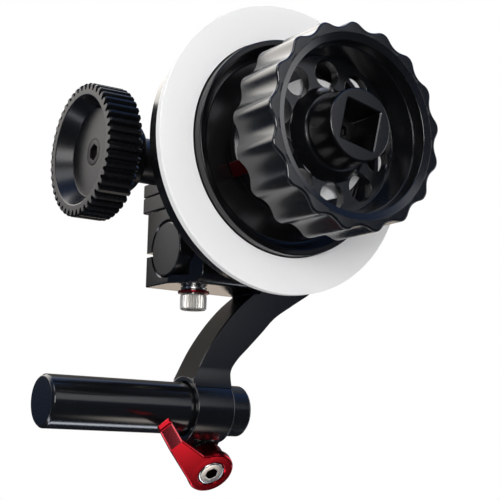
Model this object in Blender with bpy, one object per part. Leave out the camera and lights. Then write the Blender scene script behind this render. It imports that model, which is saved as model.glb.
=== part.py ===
"""Lens follow focus on a swing arm, modelled as separate pieces.

+X runs along the support rod and the gear shaft, -Y points at the person who turns the
handwheel, +Z is up.  The origin is on the rod's axis, straight below the handwheel's axis.
"""
import math

import bmesh
import bpy
from mathutils import Matrix

mm = 0.001

# Fits shared by all pieces
clearance = 0.3 * mm
overrun = 5.0 * mm
main_steps = 48
middle_steps = 32
few_steps = 24
small_steps = 16
tiny_steps = 12
hex_steps = 6
corner_steps = 3
small_hex_share = 0.8
small_hex_depth_share = 0.5

# Support rod
rod_radius = 7.5 * mm
rod_left = -50.0 * mm
rod_right = 14.3 * mm
rod_chamfer = 0.7 * mm

# Arm: clamp ring around the rod
ring_left = -5.5 * mm
ring_right = 7.0 * mm
ring_wall = 1.8 * mm

# Arm: split lug under the ring, round about the lever's axis, which leans forward and down
lever_tilt = 41.0
lever_x = 3.0 * mm
lever_drop = 11.5 * mm
lug_radius = 5.4 * mm
lug_half_width = 7.4 * mm
lug_slit = 1.6 * mm
lug_arc_first = 35.0
lug_arc_last = -190.0
lug_arc_steps = 14

# Arm: blade between the ring and the bar
blade_front = -6.5 * mm
blade_back = 5.5 * mm
blade_root = 5.0 * mm
blade_top = 39.0 * mm
blade_left_edge = [(-5.5 * mm, 8.6 * mm), (-0.3 * mm, 18.2 * mm), (6.4 * mm, 27.2 * mm),
                   (10.0 * mm, 31.0 * mm), (14.4 * mm, 34.8 * mm)]
blade_right_edge = [(38.5 * mm, 38.8 * mm), (34.5 * mm, 36.0 * mm), (28.4 * mm, 32.1 * mm),
                    (22.4 * mm, 28.0 * mm), (17.8 * mm, 23.2 * mm), (13.1 * mm, 18.4 * mm),
                    (9.3 * mm, 14.5 * mm), (7.6 * mm, 12.0 * mm)]

# Arm: bar across the top, bored for the slide bar
bar_left = -16.0 * mm
bar_right = 40.0 * mm
bar_front = -16.5 * mm
bar_bottom = 35.0 * mm
bar_top = 57.2 * mm
bar_front_end = 12.0 * mm
bar_shoulder_end = 17.0 * mm
bar_corner_x = -9.5 * mm
bar_corner_y = -7.5 * mm
bar_end_round = 6.0 * mm
bar_edge_round = 3.3 * mm
bar_end_steps = 6
bar_edge_steps = 5
bar_slit_bottom = 43.9 * mm
bar_slit_top = 45.1 * mm
notch_right = -12.0 * mm
notch_back = -8.0 * mm
notch_bottom = 37.3 * mm

# Slide bar, its neck and its travel in the bar
slide_radius = 8.0 * mm
slide_y = -6.0 * mm
slide_z = 45.2 * mm
slide_right = 10.0 * mm
slide_travel = 6.0 * mm
slide_chamfer = 0.5 * mm
neck_left = -6.0 * mm
neck_right = 4.0 * mm
neck_half_width = 3.0 * mm
neck_screw_left = -3.5 * mm
neck_screw_right = 1.5 * mm

# Clamp lever, its screw, washer and nut
lever_hub_radius = 7.0 * mm
lever_barrel_radius = 6.0 * mm
lever_barrel_length = 4.1 * mm
lever_plate_thick = 2.5 * mm
lever_counterbore = 2.0 * mm
lever_bend_slope = 0.23
lever_root_top = (-1.5 * mm, 6.6 * mm)
lever_shoulder = (-5.0 * mm, 6.2 * mm)
lever_fold_top = (-14.5 * mm, 11.7 * mm)
lever_fold_low = (-17.2 * mm, 7.9 * mm)
lever_root_low = (-4.9 * mm, -4.7 * mm)
lever_tip_top = (-22.7 * mm, 20.3 * mm)
lever_tip_share = 0.93
lever_washer_thick = 0.5 * mm
lever_washer_radius = 4.6 * mm
lever_screw_radius = 2.0 * mm
lever_head_radius = 3.9 * mm
lever_head_thick = 1.8 * mm
lever_hex_radius = 2.0 * mm
lever_hex_depth = 1.2 * mm
nut_radius = 3.9 * mm
nut_thick = 2.6 * mm

# Thumbscrew under the bar
thumb_x = -6.2 * mm
thumb_y = -6.0 * mm
knob_radius = 3.9 * mm
knob_bottom = 28.2 * mm
knob_top = 32.6 * mm
knob_groove = 0.25 * mm
knob_teeth = 24
knob_chamfer = 0.4 * mm
thumb_shank_radius = 2.0 * mm
thumb_shank_bottom = 28.8 * mm
collar_radius = 4.6 * mm
collar_thick = 0.8 * mm
bush_flange_radius = 3.8 * mm
bush_flange_thick = 0.7 * mm
bush_sleeve_radius = 3.0 * mm
bush_sleeve_top = 36.6 * mm

# Gearbox: common axes and the base that slides over the bar
wheel_z = 70.0 * mm
shaft_y = -6.0 * mm
base_gap = 0.4 * mm
base_left = -16.0 * mm
base_right = 16.0 * mm
base_front = -21.0 * mm
base_back = 9.2 * mm
base_thick = 4.6 * mm
base_corner = 1.2 * mm
base_screw_inset = 3.6 * mm
base_screw_radius = 1.2 * mm
base_screw_head_radius = 2.2 * mm
base_screw_head_thick = 1.8 * mm
base_screw_bite = 2.6 * mm
neck_screw_radius = 1.2 * mm
neck_screw_head_radius = 2.0 * mm
neck_screw_head_thick = 1.6 * mm
neck_screw_length = 9.0 * mm

# Gearbox housing
housing_block_top = 66.3 * mm
barrel_radius = 9.3 * mm
cavity_radius = 7.0 * mm
cavity_left = -13.3 * mm
nose_radius = 6.5 * mm
nose_left = -28.0 * mm
tube_radius = 9.0 * mm
tube_front = -31.0 * mm

# End cover and its screws
cover_thick = 3.2 * mm
cover_spigot = 1.5 * mm
cover_screw_count = 3
cover_screw_ring = 8.15 * mm
cover_screw_radius = 0.7 * mm
cover_head_radius = 1.1 * mm
cover_head_thick = 0.9 * mm
cover_screw_bite = 3.5 * mm

# Shafts and bearings
shaft_radius = 3.0 * mm
wheel_bearing_radius = 6.5 * mm
wheel_bearing_width = 5.0 * mm
wheel_bearing_gap = 5.2 * mm
gear_bearing_radius = 5.0 * mm
gear_bearing_width = 3.0 * mm
gear_bearing_gap = 7.7 * mm
spacer_wall = 0.9 * mm
wheel_shaft_front = -61.2 * mm
shaft_thread_radius = 1.5 * mm
shaft_thread_depth = 6.0 * mm

# Bevel gears, one on each shaft, at a right angle
bevel_teeth = 12
bevel_radius = 6.0 * mm
bevel_face = 2.6 * mm
bevel_addendum = 0.55 * mm
bevel_dedendum = 0.85 * mm
bevel_tip_share = 0.16
bevel_root_share = 0.34
bevel_rim = 0.9 * mm
bevel_hub_radius = 4.6 * mm
wheel_bevel_hub = 2.5 * mm
gear_bevel_hub = 7.4 * mm
shaft_end_gap = 3.7 * mm

# Drive gear, its flange and its screw
gear_teeth = 46
gear_module = 0.8 * mm
gear_addendum_share = 0.75
gear_depth_share = 1.8125
gear_tip_share = 0.17
gear_root_share = 0.36
gear_left = -45.0 * mm
gear_right = -35.05 * mm
recess_mouth_radius = 15.5 * mm
recess_floor_radius = 12.7 * mm
recess_depth = 4.46 * mm
flange_radius = 10.0 * mm
flange_chamfer = 0.8 * mm
gear_screw_head_radius = 3.5 * mm
gear_screw_head_thick = 1.6 * mm
gear_screw_hex_radius = 2.0 * mm
gear_screw_hex_depth = 1.0 * mm
gear_screw_length = 5.5 * mm

# Disk hub: drum, raised lip, dish and neck
drum_back = -34.5 * mm
drum_radius = 38.55 * mm
drum_front_radius = 39.4 * mm
drum_rim_wall = 2.4 * mm
drum_web_step = 1.2 * mm
drum_seat = -40.9 * mm
drum_back_hub_radius = 8.0 * mm
lip_front = -46.3 * mm
lip_wall = 2.0 * mm
dish_floor = -41.8 * mm
dish_outer_share = 0.9286
dish_inner_share = 0.6538
dish_neck_radius = 11.0 * mm
dish_neck_foot = -46.5 * mm
dish_neck_front = -55.3 * mm

# Marking disk
disk_radius = 40.4 * mm
disk_front = -43.3 * mm
disk_bore_share = 0.7426

# Handwheel
wheel_scallops = 17
wheel_steps_each = 4
wheel_first_tip = 8.3
wheel_tip_radius = 27.65 * mm
wheel_valley_depth = 1.65 * mm
wheel_front = -74.7 * mm
wheel_back = -57.9 * mm
wheel_edge = 1.0 * mm
wheel_rim_width = 3.09 * mm
wheel_mouth_round = 0.6 * mm
wheel_cup_inset = 5.05 * mm
wheel_cup_step = 5.0 * mm
wheel_floor_inset = 6.91 * mm
wheel_floor = -62.4 * mm
wheel_web = 2.6 * mm
wheel_skirt_wall = 2.2 * mm
wheel_hub_radius = 12.7 * mm
wheel_hub_top_radius = 10.5 * mm
wheel_ledge = -66.4 * mm
wheel_socket_bore_radius = 8.3 * mm
wheel_socket_floor = -61.5 * mm
web_hole_count = 10
web_hole_share = 0.2242
web_hole_place_share = 0.4726
web_hole_first = -14.0

# Crank socket, its screw and the thrust washer
socket_radius = 9.74 * mm
socket_front = -75.75 * mm
socket_edge = 0.6 * mm
socket_square = 11.0 * mm
socket_turn = -12.0
socket_depth = 10.5 * mm
socket_head_radius = 3.2 * mm
socket_head_thick = 2.6 * mm
socket_hex_radius = 1.6 * mm
socket_hex_depth = 1.4 * mm
socket_screw_length = 9.0 * mm
washer_radius = 16.5 * mm

# Index tab on the dish
tab_bearing = 206.0
tab_place_share = 0.712
tab_length = 4.2 * mm
tab_width = 2.0 * mm
tab_front = -50.0 * mm

# Places that follow from the sizes above
ring_radius = rod_radius + clearance + ring_wall
lever_washer_back = lug_half_width + clearance
lever_hub_back = lever_washer_back + lever_washer_thick + clearance
lever_plate_back = lever_hub_back + lever_barrel_length
lever_hub_front = lever_plate_back + lever_plate_thick
lever_lean = math.radians(lever_tilt)
clamp_place = (lever_x, lever_drop * math.sin(lever_lean), -lever_drop * math.cos(lever_lean))
slide_bore_radius = slide_radius + clearance
bar_bore_end = slide_right + slide_travel + 2 * clearance
neck_top = bar_top + base_gap - clearance
base_bottom = bar_top + base_gap
base_top = base_bottom + base_thick
barrel_right = base_right
housing_bottom = base_top + clearance
shaft_bore_radius = shaft_radius + clearance
cover_left = barrel_right + clearance
cover_right = cover_left + cover_thick
wheel_bearing_front = tube_front + clearance
wheel_bearing_back = wheel_bearing_front + wheel_bearing_width + wheel_bearing_gap
gear_bearing_left = nose_left + clearance
gear_bearing_right = gear_bearing_left + gear_bearing_width + gear_bearing_gap
flange_left = gear_right + clearance
flange_right = nose_left - clearance
gear_pitch_radius = gear_teeth * gear_module / 2
gear_tip_radius = gear_pitch_radius + gear_module * gear_addendum_share
gear_root_radius = gear_tip_radius - gear_module * gear_depth_share
recess_floor = gear_left + recess_depth
gear_screw_seat = recess_floor + gear_screw_head_thick
gear_shaft_left = gear_screw_seat + clearance
disk_back = drum_seat - clearance
lip_radius = disk_radius * disk_bore_share
lip_inner = lip_radius - lip_wall
dish_outer = lip_inner * dish_outer_share
dish_inner = dish_outer * dish_inner_share
tab_ring = dish_outer * tab_place_share
wheel_mouth_radius = wheel_tip_radius - wheel_rim_width
wheel_cup_radius = wheel_tip_radius - wheel_cup_inset
wheel_floor_radius = wheel_tip_radius - wheel_floor_inset
web_width = wheel_floor_radius - wheel_hub_radius
web_hole_ring = wheel_hub_radius + web_width * web_hole_place_share
web_hole_radius = web_hole_ring * web_hole_share
washer_back = dish_neck_front - clearance
washer_front = wheel_back + clearance
socket_floor = socket_front + socket_depth

# Ways that a piece's own Z axis can point: up, along +X, towards -Y, out of the clamp's lug
upright = (0.0, 0.0, 0.0)
along_x = (math.radians(90), 0.0, math.radians(90))
towards_front = (math.radians(90), 0.0, 0.0)
clamp_turn = (math.radians(90) + lever_lean, 0.0, 0.0)


def material(name, colour, roughness, metallic):
    """A plain surface finish with a linear colour."""
    finish = bpy.data.materials.new(name)
    finish.use_nodes = True
    shader = finish.node_tree.nodes["Principled BSDF"]
    shader.inputs["Base Color"].default_value = (*colour, 1.0)
    shader.inputs["Roughness"].default_value = roughness
    shader.inputs["Metallic"].default_value = metallic
    finish.diffuse_color = (*colour, 1.0)
    return finish


def finished(name, shape, finish, turn, place):
    """Turns a bmesh into a named object with its faces pointing out."""
    bmesh.ops.recalc_face_normals(shape, faces=shape.faces)
    mesh = bpy.data.meshes.new(name)
    shape.to_mesh(mesh)
    shape.free()
    if finish is not None:
        mesh.materials.append(finish)
    mesh.shade_smooth()
    mesh.set_sharp_from_angle(angle=math.radians(30))
    piece = bpy.data.objects.new(name, mesh)
    piece.rotation_euler = turn
    piece.location = place
    bpy.context.scene.collection.objects.link(piece)
    return piece


def bridge(shape, first, second):
    """A band of faces between two rings with as many vertices each."""
    for step in range(len(first)):
        after = (step + 1) % len(first)
        shape.faces.new([first[step], first[after], second[after], second[step]])


def looped(name, rings, finish, turn, place):
    """A closed body whose skin runs through the rings and back to the first one.

    A ring of one point stands for the axis, where the ring next to it is capped.
    """
    shape = bmesh.new()
    made = [[shape.verts.new(point) for point in ring] if len(ring) > 1 else []
            for ring in rings]
    for index, ring in enumerate(made):
        following = made[(index + 1) % len(made)]
        if ring and following:
            bridge(shape, ring, following)
        elif ring or following:
            shape.faces.new(ring or following)
    return finished(name, shape, finish, turn, place)


def circle(height, radius, steps):
    """A ring of points about the Z axis; a radius of zero gives one point."""
    if radius == 0:
        return [(0.0, 0.0, height)]
    turns = [2 * math.pi * step / steps for step in range(steps)]
    return [(radius * math.cos(turn), radius * math.sin(turn), height) for turn in turns]


def turned(name, outline, finish, turn, place, steps=main_steps):
    """A body turned from an outline of (height, radius) points."""
    rings = [circle(height, radius, steps) for height, radius in outline]
    return looped(name, rings, finish, turn, place)


def extruded(name, outline, start, end, finish, turn, place=(0.0, 0.0, 0.0)):
    """A flat outline of (x, y) points carried from one height to another."""
    shape = bmesh.new()
    low = [shape.verts.new((x, y, start)) for x, y in outline]
    high = [shape.verts.new((x, y, end)) for x, y in outline]
    shape.faces.new(low)
    shape.faces.new(high)
    bridge(shape, low, high)
    return finished(name, shape, finish, turn, place)


def block(name, low, high, finish=None):
    """A box between two corners."""
    outline = [(low[0], low[1]), (high[0], low[1]), (high[0], high[1]), (low[0], high[1])]
    return extruded(name, outline, low[2], high[2], finish, upright)


def arc(centre, radius, first, last, steps):
    """Points on an arc between two angles in degrees."""
    angles = [math.radians(first + (last - first) * step / steps) for step in range(steps + 1)]
    return [(centre[0] + radius * math.cos(angle), centre[1] + radius * math.sin(angle))
            for angle in angles]


def combine(target, tool, operation):
    """Joins, cuts or intersects a body with a hidden tool body."""
    tool.hide_render = True
    tool.display_type = "WIRE"
    modifier = target.modifiers.new(tool.name, "BOOLEAN")
    modifier.operation = operation
    modifier.solver = "EXACT"
    modifier.object = tool


def drill(target, name, low, high, radius, turn, place, steps=small_steps):
    """Cuts a round hole between two heights."""
    tool = turned(name, [(low, 0.0), (low, radius), (high, radius), (high, 0.0)], None, turn,
                  place, steps)
    combine(target, tool, "DIFFERENCE")


def ring_outline(low, high, inner, outer):
    """The outline of a plain ring."""
    return [(low, inner), (low, outer), (high, outer), (high, inner)]


def screw(name, head_bottom, head_top, tip, head_radius, shank_radius, hex_radius, hex_depth,
          finish, turn, place):
    """A socket-head screw whose head lies above or below its shank along its own axis."""
    outline = [(head_top, 0.0), (head_top, head_radius), (head_bottom, head_radius),
               (head_bottom, shank_radius), (tip, shank_radius), (tip, 0.0)]
    body = turned(name, outline, finish, turn, place, small_steps)
    outward = 1 if head_top > head_bottom else -1
    socket = turned(name + "_hex", [(head_top + outward * overrun, 0.0),
                                    (head_top + outward * overrun, hex_radius),
                                    (head_top - outward * hex_depth, hex_radius),
                                    (head_top - outward * hex_depth, 0.0)],
                    None, turn, place, hex_steps)
    combine(body, socket, "DIFFERENCE")
    return body


def make_rod(finish):
    """The round rod that the clamp grips."""
    edge = rod_radius - rod_chamfer
    outline = [(rod_left, 0.0), (rod_left, edge), (rod_left + rod_chamfer, rod_radius),
               (rod_right - rod_chamfer, rod_radius), (rod_right, edge), (rod_right, 0.0)]
    turned("support_rod", outline, finish, along_x, (0.0, 0.0, 0.0))


def make_arm(finish):
    """Rod clamp, blade and bored bar, machined as one piece."""
    outline = [(ring_left, blade_root)] + blade_left_edge
    outline += [(blade_left_edge[-1][0], blade_top), (blade_right_edge[0][0], blade_top)]
    outline += blade_right_edge + [(ring_right, ring_radius), (ring_right, blade_root)]
    arm = extruded("arm", outline, -blade_back, -blade_front, finish, towards_front)

    ring = turned("arm_ring", [(ring_left, 0.0), (ring_left, ring_radius),
                               (ring_right, ring_radius), (ring_right, 0.0)],
                  None, along_x, (0.0, 0.0, 0.0))
    combine(arm, ring, "UNION")

    outline = [(ring_right, -blade_root), (ring_right, -rod_radius)]
    outline += arc((lever_x, -lever_drop), lug_radius, lug_arc_first, lug_arc_last,
                   lug_arc_steps)
    outline += [(ring_left, -rod_radius), (ring_left, -blade_root)]
    lug = extruded("arm_lug", outline, -lug_half_width, lug_half_width, None, clamp_turn)
    combine(arm, lug, "UNION")

    outline = [(bar_left, blade_back), (bar_left, bar_corner_y), (bar_corner_x, bar_front),
               (bar_front_end, bar_front), (bar_shoulder_end, blade_front)]
    outline += arc((bar_right - bar_end_round, blade_front + bar_end_round), bar_end_round,
                   -90, 0, bar_end_steps)
    outline += [(bar_right, blade_back)]
    bar = extruded("arm_bar", outline, bar_bottom, bar_top, None, upright)
    outline = [(blade_back + overrun, bar_bottom), (blade_back + overrun, bar_top + overrun),
               (bar_front, bar_top + overrun)]
    outline += arc((bar_front + bar_edge_round, bar_bottom + bar_edge_round), bar_edge_round,
                   180, 270, bar_edge_steps)
    section = extruded("arm_bar_section", outline, bar_left - overrun, bar_right + overrun,
                       None, along_x)
    combine(bar, section, "INTERSECT")
    (last_x, last_z), (before_x, before_z), (first_x, first_z) = blade_right_edge[:3]
    rise = (last_z - before_z) / (last_x - before_x)
    beyond = bar_right + overrun
    outline = [(first_x, first_z), (before_x, before_z), (last_x, last_z),
               (beyond, last_z + rise * (beyond - last_x)), (beyond, first_z - overrun),
               (first_x, first_z - overrun)]
    corner = extruded("arm_bar_corner", outline, -blade_back - overrun, -bar_front + overrun,
                      None, towards_front)
    combine(bar, corner, "DIFFERENCE")
    combine(arm, bar, "UNION")

    reach = lever_drop + lug_radius + overrun
    outline = [(ring_left - overrun, -reach), (ring_right + overrun, -reach),
               (ring_right + overrun, -blade_root), (ring_left - overrun, -blade_root)]
    slit = extruded("arm_lug_slit", outline, -lug_slit / 2, lug_slit / 2, None, clamp_turn)
    combine(arm, slit, "DIFFERENCE")
    drill(arm, "arm_rod_bore", ring_left - overrun, ring_right + overrun,
          rod_radius + clearance, along_x, (0.0, 0.0, 0.0), main_steps)
    drill(arm, "arm_lever_hole", -lug_half_width - overrun, lug_half_width + overrun,
          lever_screw_radius + clearance, clamp_turn, clamp_place)
    drill(arm, "arm_nut_pocket", -lug_half_width - overrun,
          -lug_half_width + nut_thick + clearance, nut_radius + clearance, clamp_turn,
          clamp_place, hex_steps)

    drill(arm, "arm_slide_bore", bar_left - overrun, bar_bore_end, slide_bore_radius, along_x,
          (0.0, slide_y, slide_z), main_steps)
    slit = block("arm_bar_slit", (bar_left - overrun, slide_y, bar_slit_bottom),
                 (bar_bore_end, blade_back + overrun, bar_slit_top))
    combine(arm, slit, "DIFFERENCE")
    slot = block("arm_neck_slot",
                 (neck_left - slide_travel - clearance, slide_y - neck_half_width - clearance,
                  slide_z),
                 (neck_right + slide_travel + clearance, slide_y + neck_half_width + clearance,
                  bar_top + overrun))
    combine(arm, slot, "DIFFERENCE")
    notch = block("arm_notch", (bar_left - overrun, bar_front - overrun, notch_bottom),
                  (notch_right, notch_back, bar_top + overrun))
    combine(arm, notch, "DIFFERENCE")
    drill(arm, "arm_thumb_hole", bar_bottom - overrun, slide_z,
          bush_sleeve_radius + clearance, upright, (thumb_x, thumb_y, 0.0))


def make_lever(red, silver):
    """The clamp lever with its screw, washer and nut."""
    bore = lever_screw_radius + clearance
    lever = turned("clamp_lever", [(lever_hub_back, bore), (lever_hub_back, lever_barrel_radius),
                                   (lever_plate_back, lever_barrel_radius),
                                   (lever_plate_back, lever_hub_radius),
                                   (lever_hub_front, lever_hub_radius),
                                   (lever_hub_front, bore)],
                   red, clamp_turn, clamp_place, middle_steps)
    flat = [lever_root_top, lever_shoulder, lever_fold_top, lever_fold_low, lever_root_low]
    tip_low = (lever_tip_top[0] + (lever_fold_low[0] - lever_fold_top[0]) * lever_tip_share,
               lever_tip_top[1] + (lever_fold_low[1] - lever_fold_top[1]) * lever_tip_share)
    lift = math.dist(lever_fold_top, lever_tip_top) * lever_bend_slope
    shape = bmesh.new()
    rims = []
    for height in (lever_plate_back, lever_hub_front):
        level = [shape.verts.new((x, y, height)) for x, y in flat]
        raised = [shape.verts.new((x, y, height + lift)) for x, y in (lever_tip_top, tip_low)]
        shape.faces.new(level)
        shape.faces.new([level[2], *raised, level[3]])
        rims.append(level[:3] + raised + level[3:])
    bridge(shape, *rims)
    plate = finished("clamp_lever_plate", shape, None, clamp_turn, clamp_place)
    combine(lever, plate, "UNION")
    drill(lever, "clamp_lever_hole", lever_hub_back - overrun, lever_hub_front + overrun, bore,
          clamp_turn, clamp_place)
    head_seat = lever_hub_front - lever_counterbore
    drill(lever, "clamp_lever_seat", head_seat, lever_hub_front + overrun,
          lever_head_radius + clearance, clamp_turn, clamp_place)

    turned("lever_washer", ring_outline(lever_washer_back,
                                        lever_washer_back + lever_washer_thick, bore,
                                        lever_washer_radius),
           silver, clamp_turn, clamp_place, small_steps)
    head_bottom = head_seat + clearance
    screw("lever_screw", head_bottom, head_bottom + lever_head_thick,
          -lug_half_width + clearance, lever_head_radius, lever_screw_radius,
          lever_hex_radius, lever_hex_depth, silver, clamp_turn, clamp_place)
    nut = turned("clamp_nut", ring_outline(-lug_half_width, -lug_half_width + nut_thick, bore,
                                           nut_radius),
                 silver, clamp_turn, clamp_place, hex_steps)
    drill(nut, "clamp_nut_hole", -lug_half_width - overrun, lug_half_width, bore, clamp_turn,
          clamp_place)


def make_thumbscrew(red, silver):
    """The knurled screw that locks the slide bar, its red collar and its bush."""
    place = (thumb_x, thumb_y, 0.0)
    bore = thumb_shank_radius + clearance
    count = 2 * knob_teeth

    def knurled(height, radius):
        points = []
        for step in range(count):
            turn = 2 * math.pi * step / count
            reach = radius - knob_groove * (step % 2)
            points.append((reach * math.cos(turn), reach * math.sin(turn), height))
        return points

    rings = [circle(knob_bottom, bore, count),
             knurled(knob_bottom, knob_radius - knob_chamfer),
             knurled(knob_bottom + knob_chamfer, knob_radius),
             knurled(knob_top - knob_chamfer, knob_radius),
             knurled(knob_top, knob_radius - knob_chamfer),
             circle(knob_top, bore, count)]
    looped("thumbscrew_knob", rings, silver, upright, place)
    tip = slide_z - slide_radius - clearance
    turned("thumbscrew_shank", [(thumb_shank_bottom, 0.0),
                                (thumb_shank_bottom, thumb_shank_radius),
                                (tip, thumb_shank_radius), (tip, 0.0)],
           silver, upright, place, small_steps)
    collar_bottom = knob_top + clearance
    turned("thumbscrew_collar", ring_outline(collar_bottom, collar_bottom + collar_thick,
                                             bore, collar_radius),
           red, upright, place, few_steps)
    flange_top = bar_bottom - clearance
    turned("thumbscrew_bush", [(flange_top - bush_flange_thick, bore),
                               (flange_top - bush_flange_thick, bush_flange_radius),
                               (flange_top, bush_flange_radius),
                               (flange_top, bush_sleeve_radius),
                               (bush_sleeve_top, bush_sleeve_radius),
                               (bush_sleeve_top, bore)],
           silver, upright, place, small_steps)


def make_slide(dark, silver):
    """The round slide bar with the neck that carries the gearbox."""
    edge = slide_radius - slide_chamfer
    outline = [(bar_left, 0.0), (bar_left, edge), (bar_left + slide_chamfer, slide_radius),
               (slide_right - slide_chamfer, slide_radius), (slide_right, edge),
               (slide_right, 0.0)]
    slide = turned("slide_bar", outline, dark, along_x, (0.0, slide_y, slide_z))
    neck = block("slide_neck", (neck_left, slide_y - neck_half_width, slide_z),
                 (neck_right, slide_y + neck_half_width, neck_top))
    combine(slide, neck, "UNION")
    seat = base_top - neck_screw_head_thick - clearance
    for index, x in enumerate((neck_screw_left, neck_screw_right)):
        place = (x, slide_y, 0.0)
        tip = seat - neck_screw_length
        drill(slide, f"slide_screw_hole_{index + 1}", tip - clearance, base_top,
              neck_screw_radius + clearance, upright, place)
        screw(f"neck_screw_{index + 1}", seat, seat + neck_screw_head_thick, tip,
              neck_screw_head_radius, neck_screw_radius,
              neck_screw_radius * small_hex_share,
              neck_screw_head_thick * small_hex_depth_share, silver, upright, place)


def rounded_rectangle(left, right, front, back, corner, steps):
    """A rectangle with round corners."""
    outline = arc((right - corner, back - corner), corner, 0, 90, steps)
    outline += arc((left + corner, back - corner), corner, 90, 180, steps)
    outline += arc((left + corner, front + corner), corner, 180, 270, steps)
    outline += arc((right - corner, front + corner), corner, 270, 360, steps)
    return outline


def make_base(dark, silver):
    """The gearbox's bottom plate and the four screws through it."""
    footprint = rounded_rectangle(base_left, base_right, base_front, base_back, base_corner,
                                  corner_steps)
    base = extruded("gearbox_base", footprint, base_bottom, base_top, dark, upright)
    for index, x in enumerate((neck_screw_left, neck_screw_right)):
        place = (x, slide_y, 0.0)
        seat = base_top - neck_screw_head_thick - 2 * clearance
        drill(base, f"base_neck_hole_{index + 1}", base_bottom - overrun, base_top + overrun,
              neck_screw_radius + clearance, upright, place)
        drill(base, f"base_neck_seat_{index + 1}", seat, base_top + overrun,
              neck_screw_head_radius + clearance, upright, place)
    for index, place in enumerate(base_screw_places()):
        seat = base_bottom + base_screw_head_thick + clearance
        drill(base, f"base_corner_hole_{index + 1}", base_bottom - overrun,
              base_top + overrun, base_screw_radius + clearance, upright, place)
        drill(base, f"base_corner_seat_{index + 1}", base_bottom - overrun,
              seat + clearance, base_screw_head_radius + clearance, upright, place)
        screw(f"base_screw_{index + 1}", seat, seat - base_screw_head_thick,
              housing_bottom + base_screw_bite, base_screw_head_radius, base_screw_radius,
              base_screw_radius * small_hex_share,
              base_screw_head_thick * small_hex_depth_share, silver, upright, place)


def base_screw_places():
    """The four corners where the base is screwed to the housing."""
    places = []
    for x in (base_left + base_screw_inset, base_right - base_screw_inset):
        for y in (base_front + base_screw_inset, base_back - base_screw_inset):
            places.append((x, y, 0.0))
    return places


def make_housing(dark):
    """The gearbox body: block, cross barrel, nose for the gear shaft, tube for the wheel."""
    axis = (0.0, shaft_y, wheel_z)
    footprint = rounded_rectangle(base_left, base_right, base_front, base_back, base_corner,
                                  corner_steps)
    housing = extruded("gearbox_housing", footprint, housing_bottom, housing_block_top, dark,
                       upright)
    barrel = turned("housing_barrel", [(base_left, 0.0), (base_left, barrel_radius),
                                       (barrel_right, barrel_radius), (barrel_right, 0.0)],
                    None, along_x, axis)
    combine(housing, barrel, "UNION")
    nose = turned("housing_nose", [(nose_left, 0.0), (nose_left, nose_radius),
                                   (0.0, nose_radius), (0.0, 0.0)], None, along_x, axis)
    combine(housing, nose, "UNION")
    front = (0.0, 0.0, wheel_z)
    tube = turned("housing_tube", [(-shaft_y, 0.0), (-shaft_y, tube_radius),
                                   (-tube_front, tube_radius), (-tube_front, 0.0)],
                  None, towards_front, front)
    combine(housing, tube, "UNION")
    under = block("housing_underside",
                  (nose_left - overrun, tube_front - overrun, housing_bottom - tube_radius),
                  (base_right + overrun, base_back + overrun, housing_bottom))
    combine(housing, under, "DIFFERENCE")
    drill(housing, "housing_cavity", cavity_left, barrel_right + overrun, cavity_radius,
          along_x, axis, middle_steps)
    drill(housing, "housing_nose_bore", nose_left - overrun, 0.0,
          gear_bearing_radius + clearance, along_x, axis, few_steps)
    drill(housing, "housing_tube_bore", -shaft_y, -tube_front + overrun,
          wheel_bearing_radius + clearance, towards_front, front, few_steps)
    for index, place in enumerate(base_screw_places()):
        drill(housing, f"housing_screw_hole_{index + 1}", housing_bottom - overrun,
              housing_bottom + base_screw_bite + clearance, base_screw_radius + clearance,
              upright, place)
    for index, place in enumerate(cover_screw_places()):
        drill(housing, f"housing_cover_hole_{index + 1}",
              barrel_right - cover_screw_bite - clearance, barrel_right + overrun,
              cover_screw_radius + clearance / 2, along_x, place, tiny_steps)


def cover_screw_places():
    """Screws evenly round the end cover, the first one at the top."""
    places = []
    for step in range(cover_screw_count):
        turn = math.radians(90) + 2 * math.pi * step / cover_screw_count
        places.append((0.0, shaft_y + cover_screw_ring * math.cos(turn),
                       wheel_z + cover_screw_ring * math.sin(turn)))
    return places


def make_cover(dark, silver):
    """The cap that closes the cross barrel, with its screws."""
    axis = (0.0, shaft_y, wheel_z)
    spigot = cavity_radius - clearance
    outline = [(cover_left - cover_spigot, 0.0), (cover_left - cover_spigot, spigot),
               (cover_left, spigot), (cover_left, barrel_radius),
               (cover_right, barrel_radius), (cover_right, 0.0)]
    cover = turned("gearbox_cover", outline, dark, along_x, axis, middle_steps)
    seat = cover_right - cover_head_thick - clearance
    for index, place in enumerate(cover_screw_places()):
        drill(cover, f"cover_hole_{index + 1}", cover_left - overrun, cover_right + overrun,
              cover_screw_radius + clearance / 2, along_x, place, tiny_steps)
        screw(f"cover_screw_{index + 1}", cover_right + clearance,
              cover_right + clearance + cover_head_thick,
              barrel_right - cover_screw_bite, cover_head_radius, cover_screw_radius,
              cover_screw_radius * small_hex_share,
              cover_head_thick * small_hex_depth_share, silver, along_x, place)


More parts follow.
